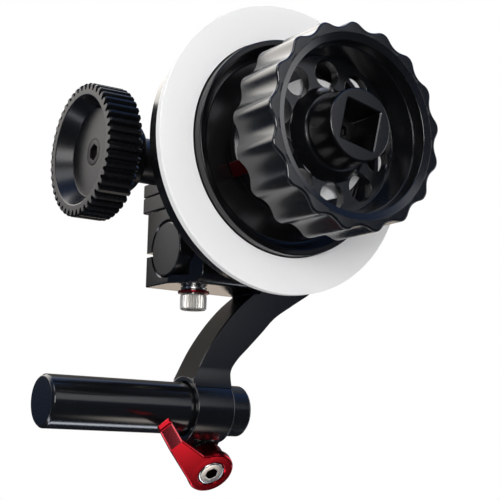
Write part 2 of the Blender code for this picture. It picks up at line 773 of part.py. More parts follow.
def make_bearings(steel, brass):
    """Two ball bearings and a spacer on each shaft."""
    front = (0.0, 0.0, wheel_z)
    bore = shaft_bore_radius
    for name, start in (("wheel_bearing_front", wheel_bearing_front),
                        ("wheel_bearing_back", wheel_bearing_back)):
        end = start + wheel_bearing_width
        turned(name, ring_outline(-end, -start, bore, wheel_bearing_radius), steel,
               towards_front, front, few_steps)
    start = wheel_bearing_front + wheel_bearing_width + clearance
    end = wheel_bearing_back - clearance
    turned("wheel_bearing_spacer", ring_outline(-end, -start,
                                                wheel_bearing_radius - spacer_wall,
                                                wheel_bearing_radius),
           brass, towards_front, front, few_steps)
    axis = (0.0, shaft_y, wheel_z)
    for name, start in (("gear_bearing_outer", gear_bearing_left),
                        ("gear_bearing_inner", gear_bearing_right)):
        turned(name, ring_outline(start, start + gear_bearing_width, bore,
                                  gear_bearing_radius), steel, along_x, axis, few_steps)
    start = gear_bearing_left + gear_bearing_width + clearance
    end = gear_bearing_right - clearance
    turned("gear_bearing_spacer", ring_outline(start, end, gear_bearing_radius - spacer_wall,
                                               gear_bearing_radius),
           brass, along_x, axis, few_steps)


def make_shafts(steel):
    """The handwheel's shaft and the drive gear's shaft."""
    wheel_end = shaft_y - shaft_end_gap
    shaft = turned("wheel_shaft", [(-wheel_end, 0.0), (-wheel_end, shaft_radius),
                                   (-wheel_shaft_front, shaft_radius),
                                   (-wheel_shaft_front, 0.0)],
                   steel, towards_front, (0.0, 0.0, wheel_z), few_steps)
    drill(shaft, "wheel_shaft_thread", -wheel_shaft_front - shaft_thread_depth,
          -wheel_shaft_front + overrun, shaft_thread_radius + clearance, towards_front,
          (0.0, 0.0, wheel_z))
    axis = (0.0, shaft_y, wheel_z)
    shaft = turned("gear_shaft", [(gear_shaft_left, 0.0), (gear_shaft_left, shaft_radius),
                                  (-shaft_end_gap, shaft_radius), (-shaft_end_gap, 0.0)],
                   steel, along_x, axis, few_steps)
    drill(shaft, "gear_shaft_thread", gear_shaft_left - overrun,
          gear_shaft_left + shaft_thread_depth, shaft_thread_radius + clearance, along_x, axis)


def bevel_ring(distance, phase):
    """One ring of bevel teeth at a distance from the apex, as points with depth below it."""
    slope = math.sqrt(0.5)
    scale = distance * slope / bevel_radius
    pitch = 2 * math.pi / bevel_teeth
    points = []
    for tooth in range(bevel_teeth):
        middle = (tooth + phase) * pitch
        for share, height in ((-bevel_root_share, -bevel_dedendum),
                              (-bevel_tip_share, bevel_addendum),
                              (bevel_tip_share, bevel_addendum),
                              (bevel_root_share, -bevel_dedendum)):
            reach = distance * slope + height * scale * slope
            depth = distance * slope - height * scale * slope
            turn = middle + share * pitch
            points.append((reach * math.cos(turn), reach * math.sin(turn), depth))
    return points


def bevel_gear(name, phase, hub, finish, turn, place, forward):
    """A bevel gear whose apex is at its place and whose body lies on one side of it."""
    outer = bevel_radius / math.sqrt(0.5)
    inner = outer - bevel_face
    count = 4 * bevel_teeth
    small_end = (inner * math.sqrt(0.5)) + bevel_dedendum
    rings = [bevel_ring(outer, phase), bevel_ring(inner, phase),
             circle(small_end, shaft_bore_radius, count),
             circle(bevel_radius + hub, shaft_bore_radius, count),
             circle(bevel_radius + hub, bevel_hub_radius, count),
             circle(bevel_radius + bevel_rim, bevel_hub_radius, count)]
    rings = [[(x, y, forward * z) for x, y, z in ring] for ring in rings]
    turn_share = 2 * math.pi * (phase - bevel_root_share) / bevel_teeth
    spun = Matrix.Rotation(turn_share, 4, "Z")
    for index in range(2, len(rings)):
        rings[index] = [tuple(spun @ Matrix.Translation(point).to_translation())
                        for point in rings[index]]
    return looped(name, rings, finish, turn, place)


def make_bevels(steel):
    """The pair of bevel gears that turns the drive a quarter turn."""
    bevel_gear("wheel_bevel_gear", 0.0, wheel_bevel_hub, steel, towards_front,
               (0.0, shaft_y, wheel_z), 1)
    bevel_gear("gear_bevel_pinion", 0.5, gear_bevel_hub, steel, along_x,
               (0.0, shaft_y, wheel_z), -1)


def make_gear(black, dark, silver):
    """The toothed drive gear with its flange and its screw."""
    axis = (0.0, shaft_y, wheel_z)
    pitch = 2 * math.pi / gear_teeth
    outline = []
    for tooth in range(gear_teeth):
        for share, radius in ((-gear_root_share, gear_root_radius),
                              (-gear_tip_share, gear_tip_radius),
                              (gear_tip_share, gear_tip_radius),
                              (gear_root_share, gear_root_radius)):
            turn = (tooth + share) * pitch
            outline.append((radius * math.cos(turn), radius * math.sin(turn)))
    gear = extruded("drive_gear", outline, gear_left, gear_right, black, along_x, axis)
    flare = (recess_mouth_radius - recess_floor_radius) / recess_depth
    recess = turned("drive_gear_recess",
                    [(gear_left - overrun, 0.0),
                     (gear_left - overrun, recess_mouth_radius + flare * overrun),
                     (recess_floor, recess_floor_radius), (recess_floor, 0.0)],
                    None, along_x, axis)
    combine(gear, recess, "DIFFERENCE")
    drill(gear, "drive_gear_bore", gear_left, gear_right + overrun, shaft_bore_radius,
          along_x, axis, few_steps)
    drill(gear, "drive_gear_seat", gear_left, gear_screw_seat + clearance,
          gear_screw_head_radius + clearance, along_x, axis, few_steps)
    edge = flange_radius - flange_chamfer
    turned("gear_flange", [(flange_left, shaft_bore_radius), (flange_left, flange_radius),
                           (flange_right - flange_chamfer, flange_radius),
                           (flange_right, edge), (flange_right, shaft_bore_radius)],
           dark, along_x, axis, middle_steps)
    screw("gear_screw", gear_screw_seat, recess_floor, gear_screw_seat + gear_screw_length,
          gear_screw_head_radius, shaft_thread_radius, gear_screw_hex_radius,
          gear_screw_hex_depth, silver, along_x, axis)


def make_disk_hub(gloss):
    """The drum that carries the marking disk, with its raised lip and its dish."""
    web = drum_back - drum_web_step
    back_hub = tube_front - clearance
    rim_inner = drum_radius - drum_rim_wall
    outline = [(back_hub, shaft_bore_radius), (back_hub, drum_back_hub_radius),
               (web, drum_back_hub_radius), (web, rim_inner), (drum_back, rim_inner),
               (drum_back, drum_radius), (drum_seat, drum_front_radius),
               (drum_seat, lip_radius), (lip_front, lip_radius), (lip_front, lip_inner),
               (dish_floor, dish_outer), (dish_floor, dish_inner),
               (dish_neck_foot, dish_neck_radius), (dish_neck_front, dish_neck_radius),
               (dish_neck_front, shaft_bore_radius)]
    turned("disk_hub", [(-y, radius) for y, radius in outline], gloss, towards_front,
           (0.0, 0.0, wheel_z))


def make_marking_disk(white):
    """The white ring that focus marks are written on."""
    turned("marking_disk", ring_outline(-disk_back, -disk_front, lip_radius + clearance,
                                        disk_radius),
           white, towards_front, (0.0, 0.0, wheel_z))


def make_handwheel(dark):
    """The scalloped wheel with its cup, web holes and hub."""
    count = wheel_scallops * wheel_steps_each

    def scalloped(y, radius, share):
        points = []
        for step in range(count):
            turn = math.radians(wheel_first_tip) + 2 * math.pi * step / count
            across = 2 * (step % wheel_steps_each) / wheel_steps_each - 1
            reach = radius - share * wheel_valley_depth * (1 - across * across)
            points.append((reach * math.cos(turn), reach * math.sin(turn), -y))
        return points

    web_back = wheel_floor + wheel_web
    skirt_inner = wheel_tip_radius - wheel_valley_depth - wheel_skirt_wall
    rings = [scalloped(wheel_back, wheel_tip_radius - wheel_edge, 1.0),
             scalloped(wheel_back - wheel_edge, wheel_tip_radius, 1.0),
             scalloped(wheel_front + wheel_edge, wheel_tip_radius, 1.0),
             scalloped(wheel_front, wheel_tip_radius - wheel_edge, 1.0),
             scalloped(wheel_front, wheel_mouth_radius, 0.0),
             scalloped(wheel_front + wheel_mouth_round, wheel_cup_radius, 0.0),
             scalloped(wheel_front + wheel_cup_step, wheel_cup_radius, 0.0),
             scalloped(wheel_floor, wheel_floor_radius, 0.0),
             scalloped(wheel_floor, wheel_hub_radius, 0.0),
             scalloped(wheel_ledge, wheel_hub_top_radius, 0.0),
             scalloped(wheel_ledge, wheel_socket_bore_radius, 0.0),
             scalloped(wheel_socket_floor, wheel_socket_bore_radius, 0.0),
             scalloped(wheel_socket_floor, shaft_bore_radius, 0.0),
             scalloped(wheel_back, shaft_bore_radius, 0.0),
             scalloped(wheel_back, wheel_hub_radius, 0.0),
             scalloped(web_back, wheel_hub_radius, 0.0),
             scalloped(web_back, skirt_inner, 0.0),
             scalloped(wheel_back, skirt_inner, 0.0)]
    wheel = looped("handwheel", rings, dark, towards_front, (0.0, 0.0, wheel_z))
    for step in range(web_hole_count):
        turn = math.radians(web_hole_first) + 2 * math.pi * step / web_hole_count
        place = (web_hole_ring * math.cos(turn), 0.0,
                 wheel_z + web_hole_ring * math.sin(turn))
        drill(wheel, f"handwheel_hole_{step + 1}", -wheel_back,
              -wheel_floor + wheel_cup_step, web_hole_radius, towards_front, place)


def make_socket(black, silver, white):
    """The square socket for a crank, its screw and the washer behind the handwheel."""
    front = (0.0, 0.0, wheel_z)
    shoulder = wheel_ledge - clearance
    foot = wheel_socket_floor - clearance
    foot_radius = wheel_socket_bore_radius - clearance
    outline = [(socket_front, 0.0), (socket_front, socket_radius - socket_edge),
               (socket_front + socket_edge, socket_radius), (shoulder, socket_radius),
               (shoulder, foot_radius), (foot, foot_radius), (foot, 0.0)]
    socket = turned("crank_socket", [(-y, radius) for y, radius in outline], black,
                    towards_front, front, middle_steps)
    corner = socket_square / math.sqrt(2)
    turn = math.radians(socket_turn + 45)
    square = [(corner * math.cos(turn + math.pi / 2 * step),
               corner * math.sin(turn + math.pi / 2 * step)) for step in range(4)]
    well = extruded("crank_socket_square", square, -socket_floor, -socket_front + overrun,
                    None, towards_front, front)
    combine(socket, well, "DIFFERENCE")
    drill(socket, "crank_socket_hole", -foot - overrun, -socket_front,
          shaft_thread_radius + clearance, towards_front, front)
    seat = -socket_floor + clearance
    screw("socket_screw", seat, seat + socket_head_thick, seat - socket_screw_length,
          socket_head_radius, shaft_thread_radius, socket_hex_radius, socket_hex_depth,
          silver, towards_front, front)
    turned("thrust_washer", ring_outline(-washer_back, -washer_front, shaft_bore_radius,
                                         washer_radius),
           white, towards_front, front, middle_steps)


def make_tab(red):
    """The small red tab that stands on the dish."""
    length = tab_length / 2
    width = tab_width / 2
    outline = [(length, width), (-length, width), (-length, -width), (length, -width)]
    slant = math.radians(tab_bearing)
    outline = [(x * -math.sin(slant) + y * math.cos(slant),
                x * math.cos(slant) + y * math.sin(slant)) for x, y in outline]
    extruded("index_tab", outline, -dish_floor + clearance, -tab_front, red, towards_front,
             (tab_ring * math.cos(slant), 0.0, wheel_z + tab_ring * math.sin(slant)))


def build():
    """Clears the scene and makes every piece."""
    for old in list(bpy.data.objects):
        bpy.data.objects.remove(old)
    black = material("black_anodised", (0.02, 0.02, 0.025), 0.4, 0.8)
    dark = material("dark_anodised", (0.035, 0.036, 0.042), 0.45, 0.8)
    gloss = material("gloss_black", (0.01, 0.01, 0.01), 0.1, 0.0)
    red = material("red_anodised", (0.55, 0.01, 0.01), 0.3, 0.8)
    silver = material("bright_steel", (0.75, 0.75, 0.75), 0.25, 1.0)
    steel = material("shaft_steel", (0.5, 0.5, 0.52), 0.3, 1.0)
    brass = material("spacer_brass", (0.7, 0.5, 0.2), 0.35, 1.0)
    white = material("white_plastic", (0.85, 0.85, 0.87), 0.5, 0.0)
    make_rod(dark)
    make_arm(dark)
    make_lever(red, silver)
    make_thumbscrew(red, silver)
    make_slide(dark, silver)
    make_base(dark, silver)
    make_housing(dark)
    make_cover(dark, silver)
    make_bearings(steel, brass)
    make_shafts(steel)
    make_bevels(steel)
    make_gear(black, dark, silver)
    make_disk_hub(gloss)
    make_marking_disk(white)
    make_handwheel(dark)
    make_socket(black, silver, white)
    make_tab(red)


build()
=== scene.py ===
import math

import bmesh
import bpy
import numpy as np
from mathutils import Matrix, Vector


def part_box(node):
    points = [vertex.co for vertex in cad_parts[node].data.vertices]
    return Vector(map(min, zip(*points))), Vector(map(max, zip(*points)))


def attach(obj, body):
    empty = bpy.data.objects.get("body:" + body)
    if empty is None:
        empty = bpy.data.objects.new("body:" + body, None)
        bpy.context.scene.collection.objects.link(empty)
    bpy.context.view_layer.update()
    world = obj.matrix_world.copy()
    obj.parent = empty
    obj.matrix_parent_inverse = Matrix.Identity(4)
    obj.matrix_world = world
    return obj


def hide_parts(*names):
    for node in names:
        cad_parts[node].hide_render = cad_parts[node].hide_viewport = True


# Looks of a lens follow focus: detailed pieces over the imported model, finishes, light, camera.
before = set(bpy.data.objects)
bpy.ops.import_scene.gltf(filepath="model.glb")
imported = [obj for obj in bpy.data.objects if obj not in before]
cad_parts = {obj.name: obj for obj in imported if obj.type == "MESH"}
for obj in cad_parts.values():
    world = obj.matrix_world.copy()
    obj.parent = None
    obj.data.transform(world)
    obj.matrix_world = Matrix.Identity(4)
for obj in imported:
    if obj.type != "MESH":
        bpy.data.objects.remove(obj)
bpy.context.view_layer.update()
scene = bpy.context.scene
mm = 0.001
print("frame loaded:", len(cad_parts), "nodes")


def unit(vectors):
    return vectors / np.maximum(np.linalg.norm(vectors, axis=-1, keepdims=True), 1e-12)


# Rounds the corners of an open profile. A corner is (along, radius, rounding): the arc of that
# rounding touches both sides, and runs evenly from one touching point to the other.
def roundedProfile(corners, steps=5):
    data = np.array([tuple(corner) + (0.0,) * (3 - len(corner)) for corner in corners], float)
    place, rounding = data[:, :2], data[:, 2].copy()
    rounding[[0, -1]] = 0.0
    before = unit(np.roll(place, 1, 0) - place)
    after = unit(np.roll(place, -1, 0) - place)
    half = np.arccos(np.clip((before * after).sum(1), -0.9999, 0.9999)) / 2
    middle = unit(before + after) * (rounding / np.sin(half))[:, None]
    first = before * (rounding / np.tan(half))[:, None] - middle
    last = after * (rounding / np.tan(half))[:, None] - middle
    sweep = (math.pi - 2 * half)[:, None, None]
    share = np.linspace(0, 1, steps + 1)[None, :, None]
    arcs = (np.sin((1 - share) * sweep) * first[:, None] + np.sin(share * sweep) * last[:, None])
    points = ((place + middle)[:, None] + arcs / np.sin(sweep)).reshape(-1, 2)
    apart = np.linalg.norm(np.diff(points, axis=0), axis=1) > 1e-8
    return points[np.concatenate([[True], apart])]


# A mesh from a grid of points: rows run along the profile, columns run round and close.
# closed joins the last row to the first one, otherwise rows that meet the axis are merged.
def gridMesh(name, points, closed):
    rows, columns = points.shape[:2]
    index = np.arange(rows * columns).reshape(rows, columns)
    low = index if closed else index[:-1]
    high = np.roll(index, -1, 0) if closed else index[1:]
    quads = np.stack([low, np.roll(low, -1, 1), np.roll(high, -1, 1), high], -1).reshape(-1, 4)
    mesh = bpy.data.meshes.new(name)
    mesh.from_pydata(points.reshape(-1, 3), [], quads)
    return mesh


# Merges doubles, turns the faces outwards and smooths all but the sharp edges.
def cleaned(mesh, sharpAngle=32):
    shape = bmesh.new()
    shape.from_mesh(mesh)
    bmesh.ops.remove_doubles(shape, verts=shape.verts, dist=1e-6)
    bmesh.ops.dissolve_degenerate(shape, edges=shape.edges, dist=1e-7)
    bmesh.ops.recalc_face_normals(shape, faces=shape.faces)
    shape.to_mesh(mesh)
    shape.free()
    mesh.shade_smooth()
    mesh.set_sharp_from_angle(angle=math.radians(sharpAngle))
    return mesh


def newPiece(name, mesh):
    piece = bpy.data.objects.new(name, mesh)
    scene.collection.objects.link(piece)
    return piece


# Directions of a piece's own axes: side, up, along.
alongX = np.array([(0, 1, 0), (0, 0, 1), (1, 0, 0)], float)
alongY = np.array([(1, 0, 0), (0, 0, 1), (0, 1, 0)], float)
alongZ = np.array([(1, 0, 0), (0, 1, 0), (0, 0, 1)], float)
# The clamp's screw leans forward and down.
lean = math.radians(41)
alongClamp = np.array([(1, 0, 0), (0, -math.sin(lean), math.cos(lean)),
    (0, -math.cos(lean), -math.sin(lean))])


# A piece round an axis. A point at (along, radius, turn) lies at centre + along on the axis +
# radius in the direction that the turn gives; a row of radii may hold one for each turn.
def roundPiece(name, along, radius, turns, axes, centre, closed=False, sharpAngle=32):
    side, up, main = axes
    ring = np.cos(turns)[:, None] * side + np.sin(turns)[:, None] * up
    points = np.array(centre) + along[:, None, None] * main + radius[..., None] * ring
    return newPiece(name, cleaned(gridMesh(name, points, closed), sharpAngle))


def evenTurns(steps):
    return np.linspace(0, 2 * math.pi, steps, endpoint=False)


def turnedPiece(name, corners, axes, centre, steps=96, closed=False, arcSteps=5):
    profile = roundedProfile(corners, arcSteps)
    return roundPiece(name, profile[:, 0], profile[:, 1:], evenTurns(steps), axes, centre, closed)


# A column of rows with its two ends closed by one face each.
def closedPiece(name, points):
    mesh = gridMesh(name, points, False)
    shape = bmesh.new()
    shape.from_mesh(mesh)
    shape.verts.ensure_lookup_table()
    count = points.shape[1]
    shape.faces.new(shape.verts[:count])
    shape.faces.new(shape.verts[-count:])
    shape.to_mesh(mesh)
    shape.free()
    return newPiece(name, cleaned(mesh))


# A flat outline carried between two heights, with its rims rounded: at each step of the
# quarter arc the outline moves in by the mitre of its two sides.
def slabPiece(name, outline, low, high, axes, centre=(0, 0, 0), edge=0.0, arcSteps=3):
    outline = np.array(outline, float)
    following = np.roll(outline, -1, 0)
    side = unit(following - outline)
    area = (outline[:, 0] * following[:, 1] - following[:, 0] * outline[:, 1]).sum()
    inward = np.stack([-side[:, 1], side[:, 0]], 1) * (1 if area > 0 else -1)
    previous = np.roll(inward, 1, 0)
    mitre = (inward + previous) / (1 + (inward * previous).sum(1))[:, None]
    turn = np.linspace(0, math.pi / 2, arcSteps + 1) if edge else np.zeros(1)
    inset = edge * (1 - np.sin(turn))
    rise = edge * (1 - np.cos(turn))
    inset = np.concatenate([inset, inset[::-1]])
    height = np.concatenate([low + rise, (high - rise)[::-1]])
    flat = outline[None] + inset[:, None, None] * mitre[None]
    points = (np.array(centre) + flat[..., :1] * axes[0] + flat[..., 1:] * axes[1]
        + height[:, None, None] * axes[2])
    return closedPiece(name, points)


def rectangle(left, right, near, far):
    return [(left, near), (right, near), (right, far), (left, far)]


def arcPoints(centre, radius, first, last, steps):
    turns = np.radians(np.linspace(first, last, steps + 1))
    points = np.stack([centre[0] + radius * np.cos(turns), centre[1] + radius * np.sin(turns)], 1)
    return [tuple(point) for point in points]


# A rectangle with a quarter arc at each corner.
def roundedRectangle(left, right, near, far, corner, steps):
    left, right, near, far = left + corner, right - corner, near + corner, far - corner
    arcs = ((right, far, 0), (left, far, 90), (left, near, 180), (right, near, 270))
    return [point for x, y, first in arcs
        for point in arcPoints((x, y), corner, first, first + 90, steps)]


# A smooth line through points: between two of them a cubic that leaves and arrives along the
# line's own slope there.
def curvedLine(points, steps=5):
    points = np.array(points, float)
    reach = np.concatenate([[0], np.cumsum(np.linalg.norm(np.diff(points, axis=0), axis=1))])
    slope = np.gradient(points, reach, axis=0)
    share = np.linspace(0, 1, steps, endpoint=False)[None, :, None]
    gap = np.diff(reach)[:, None, None]
    first, last = points[:-1, None], points[1:, None]
    leave, arrive = slope[:-1, None] * gap, slope[1:, None] * gap
    line = (first * (1 + 2 * share) * (1 - share) ** 2 + leave * share * (1 - share) ** 2
        + last * share ** 2 * (3 - 2 * share) - arrive * share ** 2 * (1 - share))
    return [tuple(point) for point in line.reshape(-1, 2)] + [tuple(points[-1])]


# Leaves only the evaluated mesh, with its modifiers worked in.
def settle(piece):
    shown = piece.evaluated_get(bpy.context.evaluated_depsgraph_get())
    mesh = bpy.data.meshes.new_from_object(shown)
    piece.modifiers.clear()
    old = piece.data
    piece.data = mesh
    bpy.data.meshes.remove(old)
    return piece


def combined(piece, tools, operation):
    for tool in tools:
        change = piece.modifiers.new(tool.name, "BOOLEAN")
        change.operation = operation
        change.solver = "EXACT"
        change.object = tool
    settle(piece)
    for tool in tools:
        bpy.data.objects.remove(tool)
    cleaned(piece.data)
    return piece


def joined(piece, *tools):
    return combined(piece, tools, "UNION")


def cut(piece, *tools):
    return combined(piece, tools, "DIFFERENCE")


def softened(piece, width, segments=2, angle=30):
    change = piece.modifiers.new("edges", "BEVEL")
    change.width = width
    change.segments = segments
    change.limit_method = "ANGLE"
    change.angle_limit = math.radians(angle)
    settle(piece)
    cleaned(piece.data)
    return piece


# A round cutter whose mouth flares out, so that it leaves a broken edge at that height.
def roundCutter(radius, low, high, axes, centre, steps=48, flareAt=None, flare=0.0):
    corners = [(low, 0.0), (low, radius), (high, radius), (high, 0.0)]
    if flareAt is not None:
        way = 1 if flareAt > (low + high) / 2 else -1
        start, end = (low, high)[::way]
        corners = [(start, 0.0), (start, radius), (flareAt - way * flare, radius),
            (end, radius + flare + abs(end - flareAt)), (end, 0.0)][::way]
    return turnedPiece("cutter", corners, axes, centre, steps)


# A screw with a six-sided recess: rows of the recess have the radius of a hexagon,
# flat distance / cos(turn from the middle of the nearest side), and all others are round. The
# recess ends in the drill's cone.
def hexScrew(name, sizes, axes, centre, faceWay):
    turns = evenTurns(72)
    flat = sizes["hexRadius"] * math.cos(math.pi / 6)
    hexagon = flat / np.cos((turns + math.pi / 6) % (math.pi / 3) - math.pi / 6)
    top, seat, tip = sizes["top"], sizes["seat"], sizes["tip"]
    deep = top - faceWay * sizes["hexDepth"]
    edge = sizes["edge"]
    head = roundedProfile([(top, flat), (top, sizes["headRadius"], edge),
        (seat, sizes["headRadius"], edge / 3), (seat, sizes["shankRadius"]),
        (tip, sizes["shankRadius"], edge), (tip, 0.0)])[1:]
    lip = 0.12 * mm
    along = np.concatenate([[deep - faceWay * flat / 2, deep, top - faceWay * lip, top],
        head[:, 0]])
    radius = np.concatenate([[turns * 0, hexagon, hexagon, hexagon + lip],
        np.repeat(head[:, 1:], len(turns), 1)])
    return roundPiece(name, along, radius, turns, axes, centre)


# A fresh copy of a CAD node's shape, merged and with its flat parts joined.
def copyOfNode(name, node):
    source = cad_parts[node].data
    mesh = bpy.data.meshes.new(name)
    mesh.from_pydata([vertex.co for vertex in source.vertices], [],
        [face.vertices for face in source.polygons])
    shape = bmesh.new()
    shape.from_mesh(mesh)
    bmesh.ops.remove_doubles(shape, verts=shape.verts, dist=1e-6)
    bmesh.ops.dissolve_limit(shape, angle_limit=math.radians(0.5), verts=shape.verts,
        edges=shape.edges)
    shape.to_mesh(mesh)
    shape.free()
    return newPiece(name, cleaned(mesh))


# Hands a finished piece over: its finish, the body it rides, the nodes it stands for. Normals
# are weighted by face area, so a flat face stays flat up to its rounded rim.
def place(piece, finish, body, slot, *nodes):
    piece.modifiers.new("normals", "WEIGHTED_NORMAL").keep_sharp = True
    settle(piece)
    piece.data.materials.clear()
    piece.data.materials.append(finish)
    if nodes:
        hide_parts(*nodes)
    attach(piece, body)
    return piece


# The one way colours come in: an sRGB hex value turned to linear.
def colour(hexValue):
    channels = np.array([int(hexValue[i:i + 2], 16) for i in (1, 3, 5)]) / 255
    linear = np.where(channels > 0.04045, ((channels + 0.055) / 1.055) ** 2.4, channels / 12.92)
    return (*[float(value) for value in linear], 1.0)


# A ramp goes over a value from one limit to the other, and from one strength to the other.
rampEnds = ("From Min", "From Max", "To Min", "To Max")


# Adds a node. Settings name its own values or its sockets, links name sockets.
def addNode(tree, kind, settings=None, links=None):
    node = tree.nodes.new("ShaderNode" + kind)
    for name, value in (settings or {}).items():
        if isinstance(name, int) or name in node.inputs:
            node.inputs[name].default_value = value
        else:
            setattr(node, name, value)
    for socket, source in (links or {}).items():
        tree.links.new(source, node.inputs[socket])
    return node


def newFinish(name, hexValue, metallic, roughness, settings=None):
    finish = bpy.data.materials.new(name)
    finish.use_nodes = True
    shader = finish.node_tree.nodes["Principled BSDF"]
    shader.inputs["Base Color"].default_value = colour(hexValue)
    shader.inputs["Metallic"].default_value = metallic
    shader.inputs["Roughness"].default_value = roughness
    for socket, value in (settings or {}).items():
        shader.inputs[socket].default_value = value
    return finish, finish.node_tree, shader


# A blasted grain: noise of about grain metres lifts the surface a little and spreads the gloss
# around its middle value.
def addGrain(tree, shader, grain, height, spread):
    spot = addNode(tree, "TexCoord")
    noise = addNode(tree, "TexNoise", {"Scale": 0.5 / grain, "Detail": 2.0},
        {"Vector": spot.outputs["Object"]})
    middle = shader.inputs["Roughness"].default_value
    gloss = addNode(tree, "MapRange", {"To Min": middle - spread, "To Max": middle + spread},
        {"Value": noise.outputs["Fac"]})
    bump = addNode(tree, "Bump", {"Strength": 0.5, "Distance": height},
        {"Height": noise.outputs["Fac"]})
    tree.links.new(gloss.outputs["Result"], shader.inputs["Roughness"])
    tree.links.new(bump.outputs["Normal"], shader.inputs["Normal"])


# A finish with such a grain, given as its size and height in mm and its spread of gloss.
def grained(name, hexValue, metallic, roughness, grain, settings=None):
    finish, tree, shader = newFinish(name, hexValue, metallic, roughness, settings)
    size, height, spread = grain
    addGrain(tree, shader, size * mm, height * mm, spread)
    return finish


# Turning marks: rings one pitch apart about an axis, as the sine of the distance from it.
def addRings(finish, centre, flatten, pitch, height):
    tree = finish.node_tree
    normal = tree.nodes["Principled BSDF"].inputs["Normal"]
    under = normal.links[0].from_socket
    spot = addNode(tree, "TexCoord")
    offset = [-a * b for a, b in zip(centre, flatten)]
    moved = addNode(tree, "Mapping", {"Location": offset, "Scale": flatten},
        {"Vector": spot.outputs["Object"]})
    reach = addNode(tree, "VectorMath", {"operation": "LENGTH"}, {0: moved.outputs["Vector"]})
    phase = addNode(tree, "Math", {"operation": "MULTIPLY", 1: 2 * math.pi / pitch},
        {0: reach.outputs["Value"]})
    wave = addNode(tree, "Math", {"operation": "SINE"}, {0: phase.outputs["Value"]})
    bump = addNode(tree, "Bump", {"Strength": 0.4, "Distance": height},
        {"Height": wave.outputs["Value"], "Normal": under})
    tree.links.new(bump.outputs["Normal"], normal)


wheelAxis = (0.0, 0.0, 70.0 * mm)
gearAxis = (0.0, -6.0 * mm, 70.0 * mm)
acrossY = (1.0, 0.0, 1.0)
acrossX = (0.0, 1.0, 1.0)


# Black anodised aluminium, blasted before anodising: a dark dye in a clear oxide skin, so it
# is near black with a soft, wide gloss. Its grain is finer than the render shows and is drawn
# at 0.35 mm.
def blastedAluminium(name, hexValue, roughness, skin=1.62):
    return grained(name, hexValue, 0.0, roughness, (0.35, 0.004, 0.03), {"IOR": skin})


# Black anodised aluminium, turned and drawn: the rod keeps a closer, longer gloss.
rodBlack = blastedAluminium("drawnAluminiumBlackAnodised", "#0f1012", 0.17)
armBlack = blastedAluminium("milledAluminiumBlackAnodised", "#0c0d0f", 0.2)
housingBlack = blastedAluminium("milledHousingBlackAnodised", "#121214", 0.3, 1.85)

# The drive gear's black anodised aluminium is hobbed and turned: rings on its faces.
gearBlack = blastedAluminium("hobbedAluminiumBlackAnodised", "#0f1012", 0.26, 1.42)
addRings(gearBlack, gearAxis, acrossX, 0.5 * mm, 0.002 * mm)

# The handwheel is a shade greyer, satin, with turning rings on its faces.
wheelGrey = blastedAluminium("turnedAluminiumGreyAnodised", "#0c0d0e", 0.2, 1.68)
addRings(wheelGrey, wheelAxis, acrossY, 0.5 * mm, 0.002 * mm)

# The crank socket's deep black: anodised after a fine turning, so it is smoother. Its darker base
# is partly painted shade, standing in for the shade inside the square well.
socketBlack = blastedAluminium("fineTurnedAluminiumBlackAnodised", "#070708", 0.24)

# The dish's gloss black: polished, then anodised. Lights show in it as soft blobs.
glossBlack = grained("polishedAluminiumBlackAnodised", "#0a0a0b", 0.0, 0.2, (0.9, 0.006, 0.03),
    {"IOR": 1.45})

# The marking disk is matt white acetal, cut from sheet: it takes a pen, so it has no shine.
whitePlastic = grained("acetalSheetMattWhite", "#eeeeee", 0.0, 0.5, (0.5, 0.004, 0.04),
    {"IOR": 1.48})

# Red anodised aluminium: red dye over bare metal, so its lights are red as well.
redAnodised = grained("milledAluminiumRedAnodised", "#b01522", 1.0, 0.22, (0.35, 0.0004, 0.03))

# The same red on the small parts that sit in shade, painted darker as their shade.
shadedRed = grained("aluminiumRedAnodisedPaintedShade", "#5c0a12", 0.85, 0.3, (0.35, 0.004, 0.04))

# Nickel-plated steel: bright, a little soft from barrel plating.
plateGrain = (0.4, 0.0005, 0.04)
brightSteel = grained("turnedSteelNickelPlated", "#dcdad5", 1.0, 0.26, plateGrain)

# The knob's knurl breaks the same plating up, so it gleams all over.
knurledSteel = grained("knurledSteelNickelPlated", "#f0ece4", 1.0, 0.5, (0.3, 0.006, 0.05))

# Blackened steel: a thin oxide from a hot salt bath, dark and slightly glossy.
darkSteel = grained("socketScrewBlackOxide", "#1d1c1c", 0.6, 0.32, (0.3, 0.006, 0.04))

# Ground steel of the shafts, bearings and bevel gears, and turned brass of the spacers.
shaftSteel = grained("groundSteel", "#9b9ca0", 1.0, 0.28, (0.3, 0.004, 0.05))
spacerBrass = grained("turnedBrass", "#c79a4b", 1.0, 0.3, (0.4, 0.005, 0.05))
print("finishes made")

rodLow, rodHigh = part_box("support_rod")
rodRadius = (rodHigh.z - rodLow.z) / 2
rod = {"edge": 0.7 * mm, "steps": 128}
edge = rod["edge"]
rodPiece = turnedPiece("supportRod", [(rodLow.x, 0.0), (rodLow.x, rodRadius - edge, 0.3 * mm),
    (rodLow.x + edge, rodRadius, 0.6 * mm), (rodHigh.x - edge, rodRadius, 0.6 * mm),
    (rodHigh.x, rodRadius - edge, 0.3 * mm), (rodHigh.x, 0.0)], alongX, (0, 0, 0), rod["steps"])
place(rodPiece, rodBlack, "rod", "rod_black", "support_rod")

